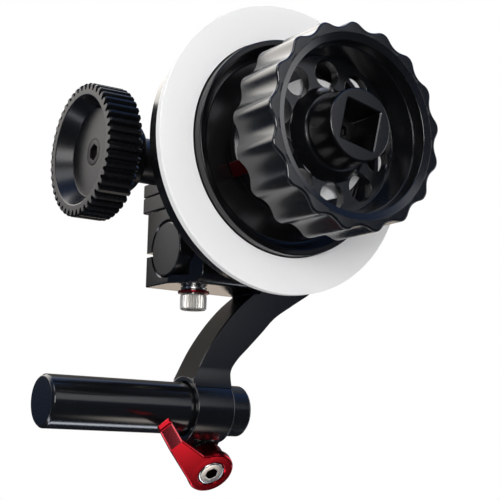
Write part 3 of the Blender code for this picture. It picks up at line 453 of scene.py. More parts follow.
armLow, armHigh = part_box("arm")
clampPin = np.array((3.0, -11.5)) * mm
clampCentre = clampPin[0] * alongClamp[0] + clampPin[1] * alongClamp[1]
slideAxis = (0.0, -6.0 * mm, 45.2 * mm)
arm = {
    "edge": 0.4 * mm, "hole": 0.35 * mm,
    "ringLeft": -5.5 * mm, "ringRight": 7.0 * mm, "ringRadius": 9.6 * mm, "bore": 7.8 * mm,
    "bladeFront": -6.5 * mm, "bladeRoot": 5.0 * mm, "bladeTop": 39.0 * mm,
    "leftEdge": [(-5.47, 8.6), (-0.3, 18.2), (6.4, 27.2), (10.0, 31.0), (14.4, 34.8)],
    "rightEdge": [(38.5, 38.8), (34.5, 36.0), (28.4, 32.1), (22.4, 28.0), (17.8, 23.2),
                  (13.1, 18.4), (9.3, 14.5), (7.6, 12.0), (6.97, 9.6)],
    "lugRadius": 5.4 * mm, "lugSlit": 1.6 * mm, "lugHalf": 7.4 * mm, "pinHole": 2.3 * mm,
    "nutPocket": 4.2 * mm, "nutDepth": 2.9 * mm,
    "barFront": -16.5 * mm, "barBottom": 35.0 * mm, "frontEnd": 12.0 * mm,
    "shoulderEnd": 17.0 * mm, "cornerX": -9.5 * mm, "cornerY": -7.5 * mm,
    "endRound": 6.0 * mm, "edgeRound": 3.3 * mm, "slideBore": 8.3 * mm, "boreEnd": 16.6 * mm,
    "slit": (43.9 * mm, 45.1 * mm), "notch": (-12.0 * mm, -8.0 * mm, 37.3 * mm),
    "neckSlot": (-12.3 * mm, 10.3 * mm, 3.3 * mm), "thumbHole": 3.3 * mm,
    "thumb": (-6.2 * mm, -6.0 * mm), "back": 5.5 * mm, "barTop": 57.2 * mm,
}
armBack, barTop = arm["back"], arm["barTop"]
leftEdge = curvedLine(np.array(arm["leftEdge"]) * mm)
rightEdge = curvedLine(np.array(arm["rightEdge"][1:]) * mm)
# Joined pieces keep a hair's breadth off each other's planes.
hair = 0.03 * mm
left, right, low, edge = arm["ringLeft"], arm["ringRight"], arm["bladeRoot"], arm["edge"]
plan = [(left + hair, low)] + leftEdge
plan += [(leftEdge[-1][0], arm["bladeTop"]), (rightEdge[0][0], arm["bladeTop"])]
plan += rightEdge + [(right - hair, low)]
blade = slabPiece("armPlate", plan, arm["bladeFront"], armBack, alongY, edge=edge)

ring = turnedPiece("ring", [(left, 0.0), (left, arm["ringRadius"], edge),
    (right, arm["ringRadius"], edge), (right, 0.0)], alongX, (0, 0, 0), 112)
outline = [(right - 2 * hair, -low), (right - 2 * hair, -rodRadius)]
outline += arcPoints(clampPin, arm["lugRadius"], 35, -190, 28)
outline += [(left + 2 * hair, -rodRadius), (left + 2 * hair, -low)]
lug = slabPiece("lug", outline, -arm["lugHalf"], arm["lugHalf"], alongClamp, edge=edge)

# The foot of the blade's front swells out to the ring in a hollow curve.
hollow = {"radius": 16.0 * mm, "top": 12.0 * mm, "sweep": -21.5, "back": -4.0 * mm,
    "front": -14.0 * mm}
outline = arcPoints((arm["bladeFront"] - hollow["radius"], hollow["top"]), hollow["radius"], 0,
    hollow["sweep"], 10)
outline += [(hollow["back"], outline[-1][1]), (hollow["back"], hollow["top"])]
root = slabPiece("root", outline, left + 3 * hair, right - 3 * hair, alongX)
combined(root, [slabPiece("plan", plan, hollow["front"], 0.0, alongY)], "INTERSECT")

shoulder, front, bottom = arm["bladeFront"] - hair, arm["barFront"], arm["barBottom"]
outline = [(armLow.x, armBack - hair), (armLow.x, arm["cornerY"]),
    (arm["cornerX"], front), (arm["frontEnd"], front), (arm["shoulderEnd"], shoulder)]
outline += arcPoints((armHigh.x - arm["endRound"], shoulder + arm["endRound"]), arm["endRound"],
    -90, 0, 10)
outline += [(armHigh.x, armBack - hair)]
bar = slabPiece("bar", outline, bottom, barTop, alongZ)
outline = [(armBack + 5 * mm, bottom), (armBack + 5 * mm, barTop + 5 * mm),
    (front, barTop + 5 * mm)]
outline += arcPoints((front + arm["edgeRound"], bottom + arm["edgeRound"]), arm["edgeRound"],
    180, 270, 8)
section = slabPiece("section", outline, armLow.x - 5 * mm, 45 * mm, alongX)
combined(bar, [section], "INTERSECT")
first, before, last = (np.array(arm["rightEdge"][index]) * mm for index in (2, 1, 0))
beyond = last + (last - before) * 2
corner = slabPiece("corner", [first, before, last, beyond, (beyond[0], 25 * mm),
    (first[0], 25 * mm)], -30 * mm, 20 * mm, alongY)
cut(bar, corner)
softened(bar, edge)
armPiece = joined(blade, root, ring, lug, bar)

# The cutters' bare lengths only reach past the faces that they open.
slit = slabPiece("slit", rectangle(-20 * mm, 20 * mm, -30 * mm, -low),
    -arm["lugSlit"] / 2, arm["lugSlit"] / 2, alongClamp)
rodBore = roundCutter(arm["bore"], -8 * mm, 20 * mm, alongX, (0, 0, 0), 112, left, arm["hole"])
pinHole = roundCutter(arm["pinHole"], -20 * mm, 20 * mm, alongClamp, clampCentre)
pocket = roundCutter(arm["nutPocket"], -20 * mm, arm["nutDepth"] - arm["lugHalf"], alongClamp,
    clampCentre, 6)
slideBore = roundCutter(arm["slideBore"], -25 * mm, arm["boreEnd"], alongX, slideAxis, 112,
    armLow.x, arm["hole"])
barSlit = slabPiece("slit", rectangle(-25 * mm, arm["boreEnd"], slideAxis[1], 12 * mm),
    *arm["slit"], alongZ)
slotLeft, slotRight, slotHalf = arm["neckSlot"]
neckSlot = slabPiece("slot", rectangle(slotLeft, slotRight, slideAxis[1] - slotHalf,
    slideAxis[1] + slotHalf), slideAxis[2], 62 * mm, alongZ)
notchX, notchY, notchZ = arm["notch"]
notch = slabPiece("notch", rectangle(-25 * mm, notchX, -25 * mm, notchY), notchZ, 62 * mm, alongZ)
thumbHole = roundCutter(arm["thumbHole"], 30 * mm, slideAxis[2], alongZ, (*arm["thumb"], 0.0))
cut(armPiece, slit, rodBore, pinHole, pocket, slideBore, barSlit, neckSlot, notch, thumbHole)
armPiece.name = "armMachined"
place(armPiece, armBlack, "arm", "arm_black", "arm")
print("arm made")


# The middle of a node's box, but nought along the axis that its holes run on.
def middleOf(node, axis):
    middle = [(low + high) / 2 for low, high in zip(*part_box(node))]
    middle[axis] = 0.0
    return middle


# The slide bar in the arm's bore, with the flat neck that carries the gearbox.
slide = {"radius": 8.0 * mm, "left": -16.0 * mm, "right": 10.0 * mm, "edge": 0.5 * mm,
    "neck": (-6.0 * mm, 4.0 * mm, 3.0 * mm, 57.3 * mm)}
slideBar = turnedPiece("slideBar", [(slide["left"], 0.0), (slide["left"], slide["radius"],
    slide["edge"]), (slide["right"], slide["radius"], slide["edge"]), (slide["right"], 0.0)],
    alongX, slideAxis, 112)
neckLeft, neckRight, neckHalf, neckTop = slide["neck"]
neck = slabPiece("neck", rectangle(neckLeft, neckRight, slideAxis[1] - neckHalf,
    slideAxis[1] + neckHalf), slideAxis[2], neckTop, alongZ)
joined(slideBar, neck)
screwHole = 1.5 * mm
neckScrews = ("neck_screw_1", "neck_screw_2")
baseScrews = tuple(f"base_screw_{number}" for number in (1, 2, 3, 4))
for screw in neckScrews:
    cut(slideBar, roundCutter(screwHole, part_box(screw)[0].z - 0.3 * mm, 70 * mm, alongZ,
        middleOf(screw, 2), 32))
place(slideBar, armBlack, "gearbox", "arm_black", "slide_bar")

lever = {
    "back": 8.5 * mm, "plateBack": 12.6 * mm, "front": 15.1 * mm, "barrel": 6.0 * mm,
    "hub": 7.0 * mm, "sink": 2.0 * mm, "bore": 2.3 * mm, "headBore": 4.2 * mm,
    "lift": 2.73 * mm, "edge": 0.5 * mm, "screwHead": 2.1 * mm, "rimBreak": 0.2 * mm,
    "flat": [(-1.5, 6.6), (-5.0, 6.2), (-14.5, 11.7), (-17.2, 7.9), (-4.9, -4.7), (-4.7, 0.5),
             (-3.0, 4.2)],
    "tip": [(-22.7, 20.3), (-25.21, 16.77)],
}
seat, rimBreak = lever["front"] - lever["sink"], lever["rimBreak"]
leverPiece = turnedPiece("clampLever", [
    (lever["back"], lever["bore"]), (lever["back"], lever["barrel"], 0.3 * mm),
    (lever["plateBack"], lever["barrel"], 0.5 * mm), (lever["plateBack"], lever["hub"], 0.4 * mm),
    (lever["front"], lever["hub"], 0.8 * mm), (lever["front"], lever["headBore"] + rimBreak),
    (lever["front"] - rimBreak, lever["headBore"]), (seat, lever["headBore"]),
    (seat, lever["bore"])], alongClamp, clampCentre, 112, True)
# The plate lies flat out to a fold, beyond which both its faces rise by the tip's lift. Round
# the screw its outline stays clear of the bore.
flat, tip = np.array(lever["flat"]) * mm, np.array(lever["tip"]) * mm
rim = np.concatenate([flat[:3], tip, flat[3:]])
count = len(rim)
rise = np.zeros(count)
rise[3:5] = lever["lift"]
levels = [lever["plateBack"] + hair, lever["front"] - hair]
points = np.concatenate([np.column_stack([rim, level + rise]) for level in levels])
mesh = bpy.data.meshes.new("leverPlate")
sides = [(i, (i + 1) % count, (i + 1) % count + count, i + count) for i in range(count)]
flats = ((0, 1, 2, 5, 6, 7, 8), (2, 3, 4, 5))
ends = [[i + shift for i in face] for shift in (0, count) for face in flats]
mesh.from_pydata(clampCentre + points @ alongClamp, [], sides + ends)
plate = newPiece("leverPlate", cleaned(mesh, 10))
softened(plate, lever["edge"], 3, 40)
joined(leverPiece, plate)
cleaned(leverPiece.data, 12)  # keeps the shallow fold crisp
place(leverPiece, redAnodised, "lever", "red_anodised", "clamp_lever")

headTop = seat + lever["screwHead"]
leverScrew = hexScrew("leverScrew", {"top": headTop, "seat": headTop - 1.8 * mm, "tip": -7.1 * mm,
    "headRadius": 3.9 * mm, "shankRadius": 2.0 * mm, "hexRadius": 2.0 * mm, "hexDepth": 1.7 * mm,
    "edge": 0.5 * mm}, alongClamp, clampCentre, 1)
# The same plated steel, with painted shade in the broached recess: dark brown below the top's
# level and inside the recess's radius, which is the length of (point - centre) x screw axis.
recessShadeSteel = grained("socketScrewNickelPlatedRecessShade", "#dcdad5", 1.0, 0.26, plateGrain)
tree = recessShadeSteel.node_tree
spot = addNode(tree, "TexCoord")
outward = addNode(tree, "VectorMath", {"operation": "SUBTRACT", 1: clampCentre},
    {0: spot.outputs["Object"]})
level = addNode(tree, "VectorMath", {"operation": "DOT_PRODUCT", 1: alongClamp[2]},
    {0: outward.outputs["Vector"]})
limits = (headTop - 0.15 * mm, headTop - 0.05 * mm, 1.0, 0.0)
level = addNode(tree, "MapRange", dict(zip(rampEnds, limits)), {"Value": level.outputs["Value"]})
across = addNode(tree, "VectorMath", {"operation": "CROSS_PRODUCT", 1: alongClamp[2]},
    {0: outward.outputs["Vector"]})
across = addNode(tree, "VectorMath", {"operation": "LENGTH"}, {0: across.outputs["Vector"]})
limits = (2.1 * mm, 2.25 * mm, 1.0, 0.0)
across = addNode(tree, "MapRange", dict(zip(rampEnds, limits)), {"Value": across.outputs["Value"]})
inside = addNode(tree, "Math", {"operation": "MULTIPLY"},
    {0: level.outputs["Result"], 1: across.outputs["Result"]})
# The dark brown mixed in here is painted shade for the recess.
recessShade = addNode(tree, "Mix", {"data_type": "RGBA", 6: colour("#dcdad5"), 7: colour("#33261a")},
    {0: inside.outputs["Value"]})
tree.links.new(recessShade.outputs[2], tree.nodes["Principled BSDF"].inputs["Base Color"])
place(leverScrew, recessShadeSteel, "lever", "bright_steel", "lever_screw")
print("lever made")

thumbCentre = (*arm["thumb"], 0.0)
low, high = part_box("thumbscrew_knob")
knob = {"radius": (high.x - low.x) / 2, "bottom": low.z, "top": high.z, "bore": 2.3 * mm,
    "grooves": 30, "depth": 0.3 * mm, "edge": 0.5 * mm, "slope": 0.35 * mm, "stepsEach": 6}
# Knurl: the radius falls by half the depth times one plus the cosine of the groove's turn,
# and only on rows of the side.
turns = evenTurns(knob["grooves"] * knob["stepsEach"])
profile = roundedProfile([(knob["bottom"], knob["bore"]),
    (knob["bottom"], knob["radius"] - knob["slope"], 0.2 * mm),
    (knob["bottom"] + knob["edge"], knob["radius"]), (knob["top"] - knob["edge"], knob["radius"]),
    (knob["top"], knob["radius"] - knob["slope"], 0.2 * mm), (knob["top"], knob["bore"])])
share = np.clip((profile[:, 1:] - knob["radius"]) / knob["slope"] + 1, 0, 1)
groove = (1 + np.cos(knob["grooves"] * turns)) / 2 * knob["depth"]
knobPiece = roundPiece("thumbscrewKnob", profile[:, 0], profile[:, 1:] - share * groove, turns,
    alongZ, thumbCentre, True)
place(knobPiece, knurledSteel, "thumbscrew", "bright_steel", "thumbscrew_knob")

bore = knob["bore"]
low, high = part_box("thumbscrew_collar")
reach = (high.x - low.x) / 2
collar = turnedPiece("thumbscrewCollar", [(low.z, bore), (low.z, reach, 0.25 * mm),
    (high.z, reach, 0.25 * mm), (high.z, bore)], alongZ, thumbCentre, 72, True)
# The collar's darker red is painted shade.
place(collar, shadedRed, "thumbscrew", "red_anodised", "thumbscrew_collar")

low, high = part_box("thumbscrew_bush")
bushSizes = {"flange": 0.7 * mm, "flangeRadius": 3.8 * mm, "radius": 3.0 * mm}
flange, wide, narrow = low.z + bushSizes["flange"], bushSizes["flangeRadius"], bushSizes["radius"]
bush = turnedPiece("thumbscrewBush", [(low.z, bore), (low.z, wide, 0.2 * mm),
    (flange, wide, 0.1 * mm), (flange, narrow), (high.z, narrow, 0.2 * mm), (high.z, bore)],
    alongZ, thumbCentre, 72, True)
place(bush, brightSteel, "arm", "bright_steel", "thumbscrew_bush")
print("thumbscrew made")

baseLow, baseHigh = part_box("gearbox_base")
houseLow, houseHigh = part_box("gearbox_housing")
block = {"corner": 1.2 * mm, "edge": 0.3 * mm, "blockTop": 66.3 * mm, "barrel": 9.3 * mm,
    "nose": 6.5 * mm, "tube": 9.0 * mm, "noseLeft": -28.0 * mm, "tubeFront": -31.0 * mm,
    "cavity": 7.0 * mm, "cavityLeft": -13.3 * mm, "noseBore": 5.3 * mm, "tubeBore": 6.8 * mm,
    "neckHead": (2.3 * mm, 2.2 * mm), "baseHead": (2.5 * mm, 2.4 * mm), "mouth": 0.2 * mm}

footprint = roundedRectangle(baseLow.x, baseHigh.x, baseLow.y, baseHigh.y, block["corner"], 6)
base = slabPiece("gearboxBase", footprint, baseLow.z, baseHigh.z, alongZ, edge=block["edge"])
under, over = 50 * mm, 70 * mm  # well past both faces of the base
for screw in neckScrews + baseScrews:
    middle = middleOf(screw, 2)
    if screw in neckScrews:
        reach, deep = block["neckHead"]
        head = roundCutter(reach, baseHigh.z - deep, over, alongZ, middle, 32)
    else:
        reach, deep = block["baseHead"]
        head = roundCutter(reach, baseLow.z - 2 * mm, baseLow.z + deep, alongZ, middle, 32,
            baseLow.z, block["mouth"])
    cut(base, roundCutter(screwHole, under, over, alongZ, middle, 32), head)
place(base, housingBlack, "gearbox", "housing_black", "gearbox_base")

housing = slabPiece("gearboxHousing", footprint, houseLow.z, block["blockTop"], alongZ,
    edge=block["edge"])
barrel = turnedPiece("barrel",
    [(baseLow.x + hair, 0.0), (baseLow.x + hair, block["barrel"], block["edge"]),
    (houseHigh.x, block["barrel"], block["edge"]), (houseHigh.x, 0.0)], alongX, gearAxis, 112)
nose = turnedPiece("nose", [(block["noseLeft"], 0.0), (block["noseLeft"], block["nose"],
    block["edge"]), (-2 * mm, block["nose"]), (-2 * mm, 0.0)], alongX, gearAxis, 92)
tube = turnedPiece("tube", [(-5 * mm, 0.0), (-5 * mm, block["tube"]), (block["tubeFront"],
    block["tube"], block["edge"]), (block["tubeFront"], 0.0)], alongY, wheelAxis, 112)
joined(housing, barrel, nose, tube)
foot = slabPiece("foot", rectangle(-40 * mm, 30 * mm, -40 * mm, 20 * mm), under,
    houseLow.z + hair, alongZ)
bores = [roundCutter(block["cavity"], block["cavityLeft"], 30 * mm, alongX, gearAxis, 64),
    roundCutter(block["noseBore"], -40 * mm, -1 * mm, alongX, gearAxis, 60),
    roundCutter(block["tubeBore"], -40 * mm, -7 * mm, alongY, wheelAxis, 68)]
for screw in baseScrews:
    bores.append(roundCutter(screwHole, 55 * mm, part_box(screw)[1].z + 0.3 * mm, alongZ,
        middleOf(screw, 2), 32))
for tool in [foot] + bores:
    cut(housing, tool)
place(housing, housingBlack, "gearbox", "housing_black", "gearbox_housing")

coverLow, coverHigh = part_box("gearbox_cover")
lid = {"spigot": 1.5 * mm, "spigotRadius": 6.7 * mm, "screwHole": 0.85 * mm}
spigot = coverLow.x + lid["spigot"]
cover = turnedPiece("gearboxCover", [(coverLow.x, 0.0), (coverLow.x, lid["spigotRadius"]),
    (spigot, lid["spigotRadius"]), (spigot, block["barrel"], 0.2 * mm),
    (coverHigh.x, block["barrel"], 0.6 * mm), (coverHigh.x, 0.0)], alongX, gearAxis, 96)
for number in (1, 2, 3):
    node = f"cover_screw_{number}"
    low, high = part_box(node)
    middle = middleOf(node, 0)
    cut(cover, roundCutter(lid["screwHole"], 10 * mm, 30 * mm, alongX, middle, 24))
    screw = hexScrew(f"coverScrew{number}", {"top": high.x, "seat": coverHigh.x + 0.05 * mm,
        "tip": low.x, "headRadius": (high.y - low.y) / 2, "shankRadius": 0.7 * mm,
        "hexRadius": 0.62 * mm, "hexDepth": 0.5 * mm, "edge": 0.25 * mm}, alongX, middle, 1)
    place(screw, brightSteel, "gearbox", "bright_steel", node)
place(cover, housingBlack, "gearbox", "housing_black", "gearbox_cover")
print("gearbox made")

gearLow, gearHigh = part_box("drive_gear")
shaftHole = 3.3 * mm
gear = {"teeth": 46, "depth": 1.45 * mm, "chamfer": 0.45 * mm, "mouth": 15.5 * mm,
    "floor": 12.7 * mm, "recess": 4.46 * mm, "seat": -38.64 * mm, "seatRadius": 3.8 * mm,
    "backRing": 14.0 * mm, "slope": 0.5 * mm, "tipShare": 0.15, "flankShare": 0.21, "bulge": 1.4,
    "stepsEach": 14}
tipRadius = (gearHigh.z - gearLow.z) / 2
# Tooth: up to the tip's share of a pitch from the tooth's middle the radius is the tip's. Over
# the flank's share it falls to the root, by the depth times the way along it to the power of
# the bulge.
turns = evenTurns(gear["teeth"] * gear["stepsEach"])
across = np.abs((turns * gear["teeth"] / (2 * math.pi) + 0.5) % 1 - 0.5)
tooth = np.clip((across - gear["tipShare"]) / gear["flankShare"], 0, 1) ** gear["bulge"]
flare, rootEdge = gear["chamfer"], tipRadius - gear["chamfer"] - gear["slope"]
recessFloor = gearLow.x + gear["recess"]
profile = roundedProfile([(gear["seat"], shaftHole), (gear["seat"], gear["seatRadius"]),
    (recessFloor, gear["seatRadius"], 0.08 * mm), (recessFloor, gear["floor"], 0.35 * mm),
    (gearLow.x + 0.1 * mm, gear["mouth"], 0.25 * mm),
    (gearLow.x, gear["mouth"] + 0.3 * mm, 0.05 * mm),
    (gearLow.x, rootEdge), (gearLow.x, tipRadius - flare),
    (gearLow.x + flare, tipRadius), (gearHigh.x - flare, tipRadius),
    (gearHigh.x, tipRadius - flare), (gearHigh.x, gear["backRing"]), (gearHigh.x, shaftHole)], 4)
share = np.clip((profile[:, 1:] - rootEdge) / gear["slope"], 0, 1)
radius = profile[:, 1:] - share * tooth * gear["depth"]
gearPiece = roundPiece("driveGear", profile[:, 0], radius, turns, alongX, gearAxis, True, 40)
place(gearPiece, gearBlack, "drive", "gear_black", "drive_gear")

low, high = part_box("gear_flange")
flangeRadius, chamfer = (high.z - low.z) / 2, 0.8 * mm
gearFlange = turnedPiece("gearFlange", [(low.x, shaftHole), (low.x, flangeRadius, 0.2 * mm),
    (high.x - chamfer, flangeRadius, 0.2 * mm), (high.x, flangeRadius - chamfer, 0.2 * mm),
    (high.x, shaftHole)], alongX, gearAxis, 96, True)
place(gearFlange, gearBlack, "drive", "housing_black", "gear_flange")

low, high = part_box("gear_screw")
gearScrew = hexScrew("gearScrew", {"top": low.x, "seat": low.x + 1.6 * mm, "tip": high.x,
    "headRadius": (high.z - low.z) / 2 + 0.2 * mm, "shankRadius": 1.5 * mm, "hexRadius": 2.4 * mm,
    "hexDepth": 1.5 * mm, "edge": 0.1 * mm}, alongX, gearAxis, -1)
place(gearScrew, darkSteel, "drive", "bright_steel", "gear_screw")
print("drive gear made")

hubLow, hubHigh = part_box("disk_hub")
diskLow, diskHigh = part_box("marking_disk")
hub = {"back": -34.5 * mm, "rear": 38.55 * mm, "front": 39.4 * mm, "wall": 2.4 * mm,
    "web": -35.7 * mm, "seat": -40.9 * mm, "rearHub": 8.0 * mm, "lipFront": -46.3 * mm,
    "lip": 30.0 * mm, "lipWall": 2.0 * mm, "dish": -41.8 * mm, "outer": 26.0 * mm,
    "inner": 17.0 * mm, "neck": 11.0 * mm, "neckFoot": -46.5 * mm}
lipInner = hub["lip"] - hub["lipWall"]
diskHub = turnedPiece("diskHub", [
    (hubHigh.y, shaftHole), (hubHigh.y, hub["rearHub"], 0.3 * mm),
    (hub["web"], hub["rearHub"], 0.8 * mm), (hub["web"], hub["rear"] - hub["wall"], 0.8 * mm),
    (hub["back"], hub["rear"] - hub["wall"], 0.2 * mm), (hub["back"], hub["rear"], 0.5 * mm),
    (hub["seat"], hub["front"], 0.3 * mm), (hub["seat"], hub["lip"], 0.1 * mm),
    (hub["lipFront"] + 0.25 * mm, hub["lip"], 0.1 * mm),
    (hub["lipFront"], hub["lip"] - 0.3 * mm, 0.1 * mm),
    (hub["lipFront"], lipInner + 0.5 * mm, 0.2 * mm),
    (hub["lipFront"] + 0.7 * mm, lipInner, 0.3 * mm), (hub["dish"], hub["outer"], 1.4 * mm),
    (hub["dish"], hub["inner"], 2.5 * mm), (hub["neckFoot"], hub["neck"], 1.2 * mm),
    (hubLow.y, hub["neck"], 0.3 * mm), (hubLow.y, shaftHole)], alongY, wheelAxis, 160, True)
place(diskHub, glossBlack, "wheel", "gloss_black", "disk_hub")

diskRadius, diskHole = (diskHigh.z - diskLow.z) / 2, 30.3 * mm
markingDisk = turnedPiece("markingDisk", [
    (diskHigh.y, diskHole, 0.05 * mm), (diskHigh.y, diskRadius, 0.15 * mm),
    (diskLow.y, diskRadius, 0.25 * mm), (diskLow.y, diskHole, 0.1 * mm)],
    alongY, wheelAxis, 192, True)
place(markingDisk, whitePlastic, "wheel", "white_plastic", "marking_disk")

tab = softened(copyOfNode("indexTab", "index_tab"), 0.3 * mm)
# The tab's darker red is painted shade.
place(tab, shadedRed, "wheel", "red_anodised", "index_tab")
print("disk made")

wheelLow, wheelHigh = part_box("handwheel")
wheel = {"scallops": 17, "firstTip": 8.3, "tip": 27.65 * mm, "valley": 1.65 * mm,
    "lobe": 0.4, "edge": 0.7 * mm, "mouth": 24.56 * mm, "cup": 22.6 * mm, "cupStep": 5.0 * mm,
    "floorRadius": 20.74 * mm, "floor": -62.4 * mm, "web": 2.6 * mm, "skirtWall": 2.2 * mm,
    "hub": 12.7 * mm, "hubTop": 10.5 * mm, "ledge": -66.4 * mm, "socketBore": 8.3 * mm,
    "socketFloor": -61.5 * mm, "holes": 10, "holeRadius": 3.7 * mm, "holeRing": 16.5 * mm,
    "holeFirst": -14.0, "webStep": 0.4 * mm, "lipStep": 0.35 * mm, "fade": 1.6,
    "stepsEach": 18}
# Scallops: with t the share of half a pitch from a lobe's tip, the drop is
# valley * t^2 / lobe on the round lobe (t < lobe) and valley * (1 - (1 - t)^2 / (1 - lobe))
# in the hollow, so that both curves meet at one slope.
turns = evenTurns(wheel["scallops"] * wheel["stepsEach"])
share = np.abs((turns * wheel["scallops"] / (2 * math.pi) + 0.5) % 1 - 0.5) * 2
turns = turns + math.radians(wheel["firstTip"])
lobe = wheel["lobe"]
drop = wheel["valley"] * np.where(share < lobe, share ** 2 / lobe,
    1 - (1 - share) ** 2 / (1 - lobe))
webBack = wheel["floor"] + wheel["web"]
lipStep = wheel["lipStep"]
cupEnd = wheelLow.y + wheel["cupStep"] - lipStep
webStep = wheel["floor"] - wheel["webStep"]
skirtInner = wheel["tip"] - wheel["valley"] - wheel["skirtWall"]
profile = roundedProfile([
    (wheelHigh.y, skirtInner, 0.3 * mm), (wheelHigh.y, wheel["tip"], wheel["edge"]),
    (wheelLow.y, wheel["tip"], wheel["edge"]), (wheelLow.y, wheel["mouth"], 0.5 * mm),
    (wheelLow.y + 0.75 * mm, wheel["cup"], 0.3 * mm), (cupEnd, wheel["cup"], 0.1 * mm),
    (cupEnd, wheel["cup"] - lipStep, 0.08 * mm),
    (webStep, wheel["floorRadius"] + lipStep, 0.08 * mm),
    (webStep, wheel["floorRadius"], 0.08 * mm),
    (wheel["floor"], wheel["floorRadius"] - 0.1 * mm, 0.05 * mm),
    (wheel["floor"], wheel["hub"] + 0.1 * mm, 0.08 * mm), (webStep, wheel["hub"], 0.1 * mm),
    (wheel["ledge"] + 0.3 * mm, wheel["hubTop"] + 0.3 * mm, 0.1 * mm),
    (wheel["ledge"], wheel["hubTop"], 0.1 * mm), (wheel["ledge"], wheel["socketBore"], 0.05 * mm),
    (wheel["socketFloor"], wheel["socketBore"], 0.05 * mm),
    (wheel["socketFloor"], shaftHole, 0.05 * mm), (wheelHigh.y, shaftHole, 0.1 * mm),
    (wheelHigh.y, wheel["hub"], 0.3 * mm), (webBack, wheel["hub"], 0.5 * mm),
    (webBack, skirtInner, 0.5 * mm)], 5)
# Only what lies outside the cup's mouth is scalloped, the front face less and less inwards.
fade = (profile[:, 1:] - wheel["mouth"]) / (wheel["tip"] - wheel["mouth"])
radius = profile[:, 1:] - np.clip(fade * wheel["fade"], 0, 1) * drop
wheelPiece = roundPiece("handwheelScalloped", profile[:, 0], radius, turns, alongY, wheelAxis,
    True)
holes = []
for number in range(wheel["holes"]):
    turn = math.radians(wheel["holeFirst"] + 360 * number / wheel["holes"])
    centre = (wheel["holeRing"] * math.cos(turn), 0.0,
        wheelAxis[2] + wheel["holeRing"] * math.sin(turn))
    holes.append(roundCutter(wheel["holeRadius"], wheel["floor"] - hair, wheelHigh.y, alongY,
        centre, 48, wheel["floor"], 0.15 * mm))
cut(wheelPiece, *holes)
place(wheelPiece, wheelGrey, "wheel", "wheel_grey", "handwheel")
print("handwheel made")

socketLow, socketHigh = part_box("crank_socket")
socket = {"radius": 9.74 * mm, "edge": 0.6 * mm, "square": 11.0 * mm, "turn": -12.0,
    "depth": 10.5 * mm, "shoulder": -66.7 * mm, "foot": 8.0 * mm, "bore": 1.8 * mm,
    "corner": 0.5 * mm, "bevel": 0.3 * mm}
socketPiece = turnedPiece("crankSocket", [
    (socketLow.y, 0.0), (socketLow.y, socket["radius"], socket["edge"]),
    (socket["shoulder"], socket["radius"], 0.1 * mm), (socket["shoulder"], socket["foot"]),
    (socketHigh.y, socket["foot"]), (socketHigh.y, 0.0)], alongY, wheelAxis, 128)
half = socket["square"] / 2
outline = np.array(roundedRectangle(-half, half, -half, half, socket["corner"], 4))
turn = math.radians(socket["turn"])
spin = np.array([(math.cos(turn), -math.sin(turn)), (math.sin(turn), math.cos(turn))])
outline = outline @ spin.T
wellFloor = socketLow.y + socket["depth"]
beyond = 5 * mm
well = slabPiece("well", outline, socketLow.y - beyond, wellFloor, alongY, wheelAxis)
# The well's mouth is broken by a slope that widens the square by its own depth.
bevel = socket["bevel"]
wide = outline * (1 + (beyond + bevel) / half)
rims = ((outline, socketLow.y + bevel), (wide, socketLow.y - beyond))
points = np.stack([np.insert(rim, 1, level, 1) for rim, level in rims])
mouth = closedPiece("mouth", points + np.array(wheelAxis))
cut(socketPiece, well, mouth,
    roundCutter(socket["bore"], wellFloor - 1 * mm, socketHigh.y + 2 * mm, alongY, wheelAxis, 32))
place(socketPiece, socketBlack, "wheel", "socket_black", "crank_socket")

low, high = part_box("socket_screw")
socketScrew = hexScrew("socketScrew", {"top": low.y, "seat": low.y + 2.6 * mm, "tip": high.y,
    "headRadius": (high.x - low.x) / 2, "shankRadius": 1.5 * mm, "hexRadius": 1.6 * mm,
    "hexDepth": 1.4 * mm, "edge": 0.3 * mm}, alongY, wheelAxis, -1)
place(socketScrew, darkSteel, "wheel", "bright_steel", "socket_screw")

low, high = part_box("thrust_washer")
reach = (high.x - low.x) / 2
washer = turnedPiece("thrustWasher", [(high.y, shaftHole), (high.y, reach, 0.2 * mm),
    (low.y, reach, 0.2 * mm), (low.y, shaftHole)], alongY, wheelAxis, 96, True)
place(washer, whitePlastic, "wheel", "white_plastic", "thrust_washer")
print("socket made")

kept = {
    brightSteel: ("clamp_nut", "lever_washer", "thumbscrew_shank") + neckScrews + baseScrews,
    shaftSteel: ("wheel_bearing_front", "wheel_bearing_back", "gear_bearing_outer",
                 "gear_bearing_inner", "wheel_shaft", "gear_shaft", "wheel_bevel_gear",
                 "gear_bevel_pinion"),
    spacerBrass: ("wheel_bearing_spacer", "gear_bearing_spacer"),
}
for finish, nodes in kept.items():
    for node in nodes:
        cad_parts[node].data.materials.clear()
        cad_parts[node].data.materials.append(finish)

floorMesh = bpy.data.meshes.new("floor")
floorHalf, floorLevel = 1.2, -0.1
floorMesh.from_pydata([(*corner, floorLevel)
    for corner in rectangle(-floorHalf, floorHalf, -floorHalf, floorHalf)], [], [(0, 1, 2, 3)])
floor = newPiece("floor", floorMesh)
paper, tree, shader = newFinish("paperPaleMatt", "#f2f2f2", 0.0, 0.8)
# In the gloss the floor is dim, but for a narrow strip of light along X under the object, a
# soft spot in front of it and the bright far end.
spot = addNode(tree, "TexCoord")
parts = addNode(tree, "SeparateXYZ", None, {0: spot.outputs["Object"]})
off = addNode(tree, "Math", {"operation": "SUBTRACT", 1: 0.02}, {0: parts.outputs["Y"]})
off = addNode(tree, "Math", {"operation": "ABSOLUTE"}, {0: off.outputs["Value"]})
distances = [addNode(tree, "VectorMath", {"operation": "DISTANCE", 1: centre},
    {0: spot.outputs["Object"]}).outputs["Value"]
    for centre in ((0.038, -0.043, floorLevel), (0.5, 0.75, floorLevel))]
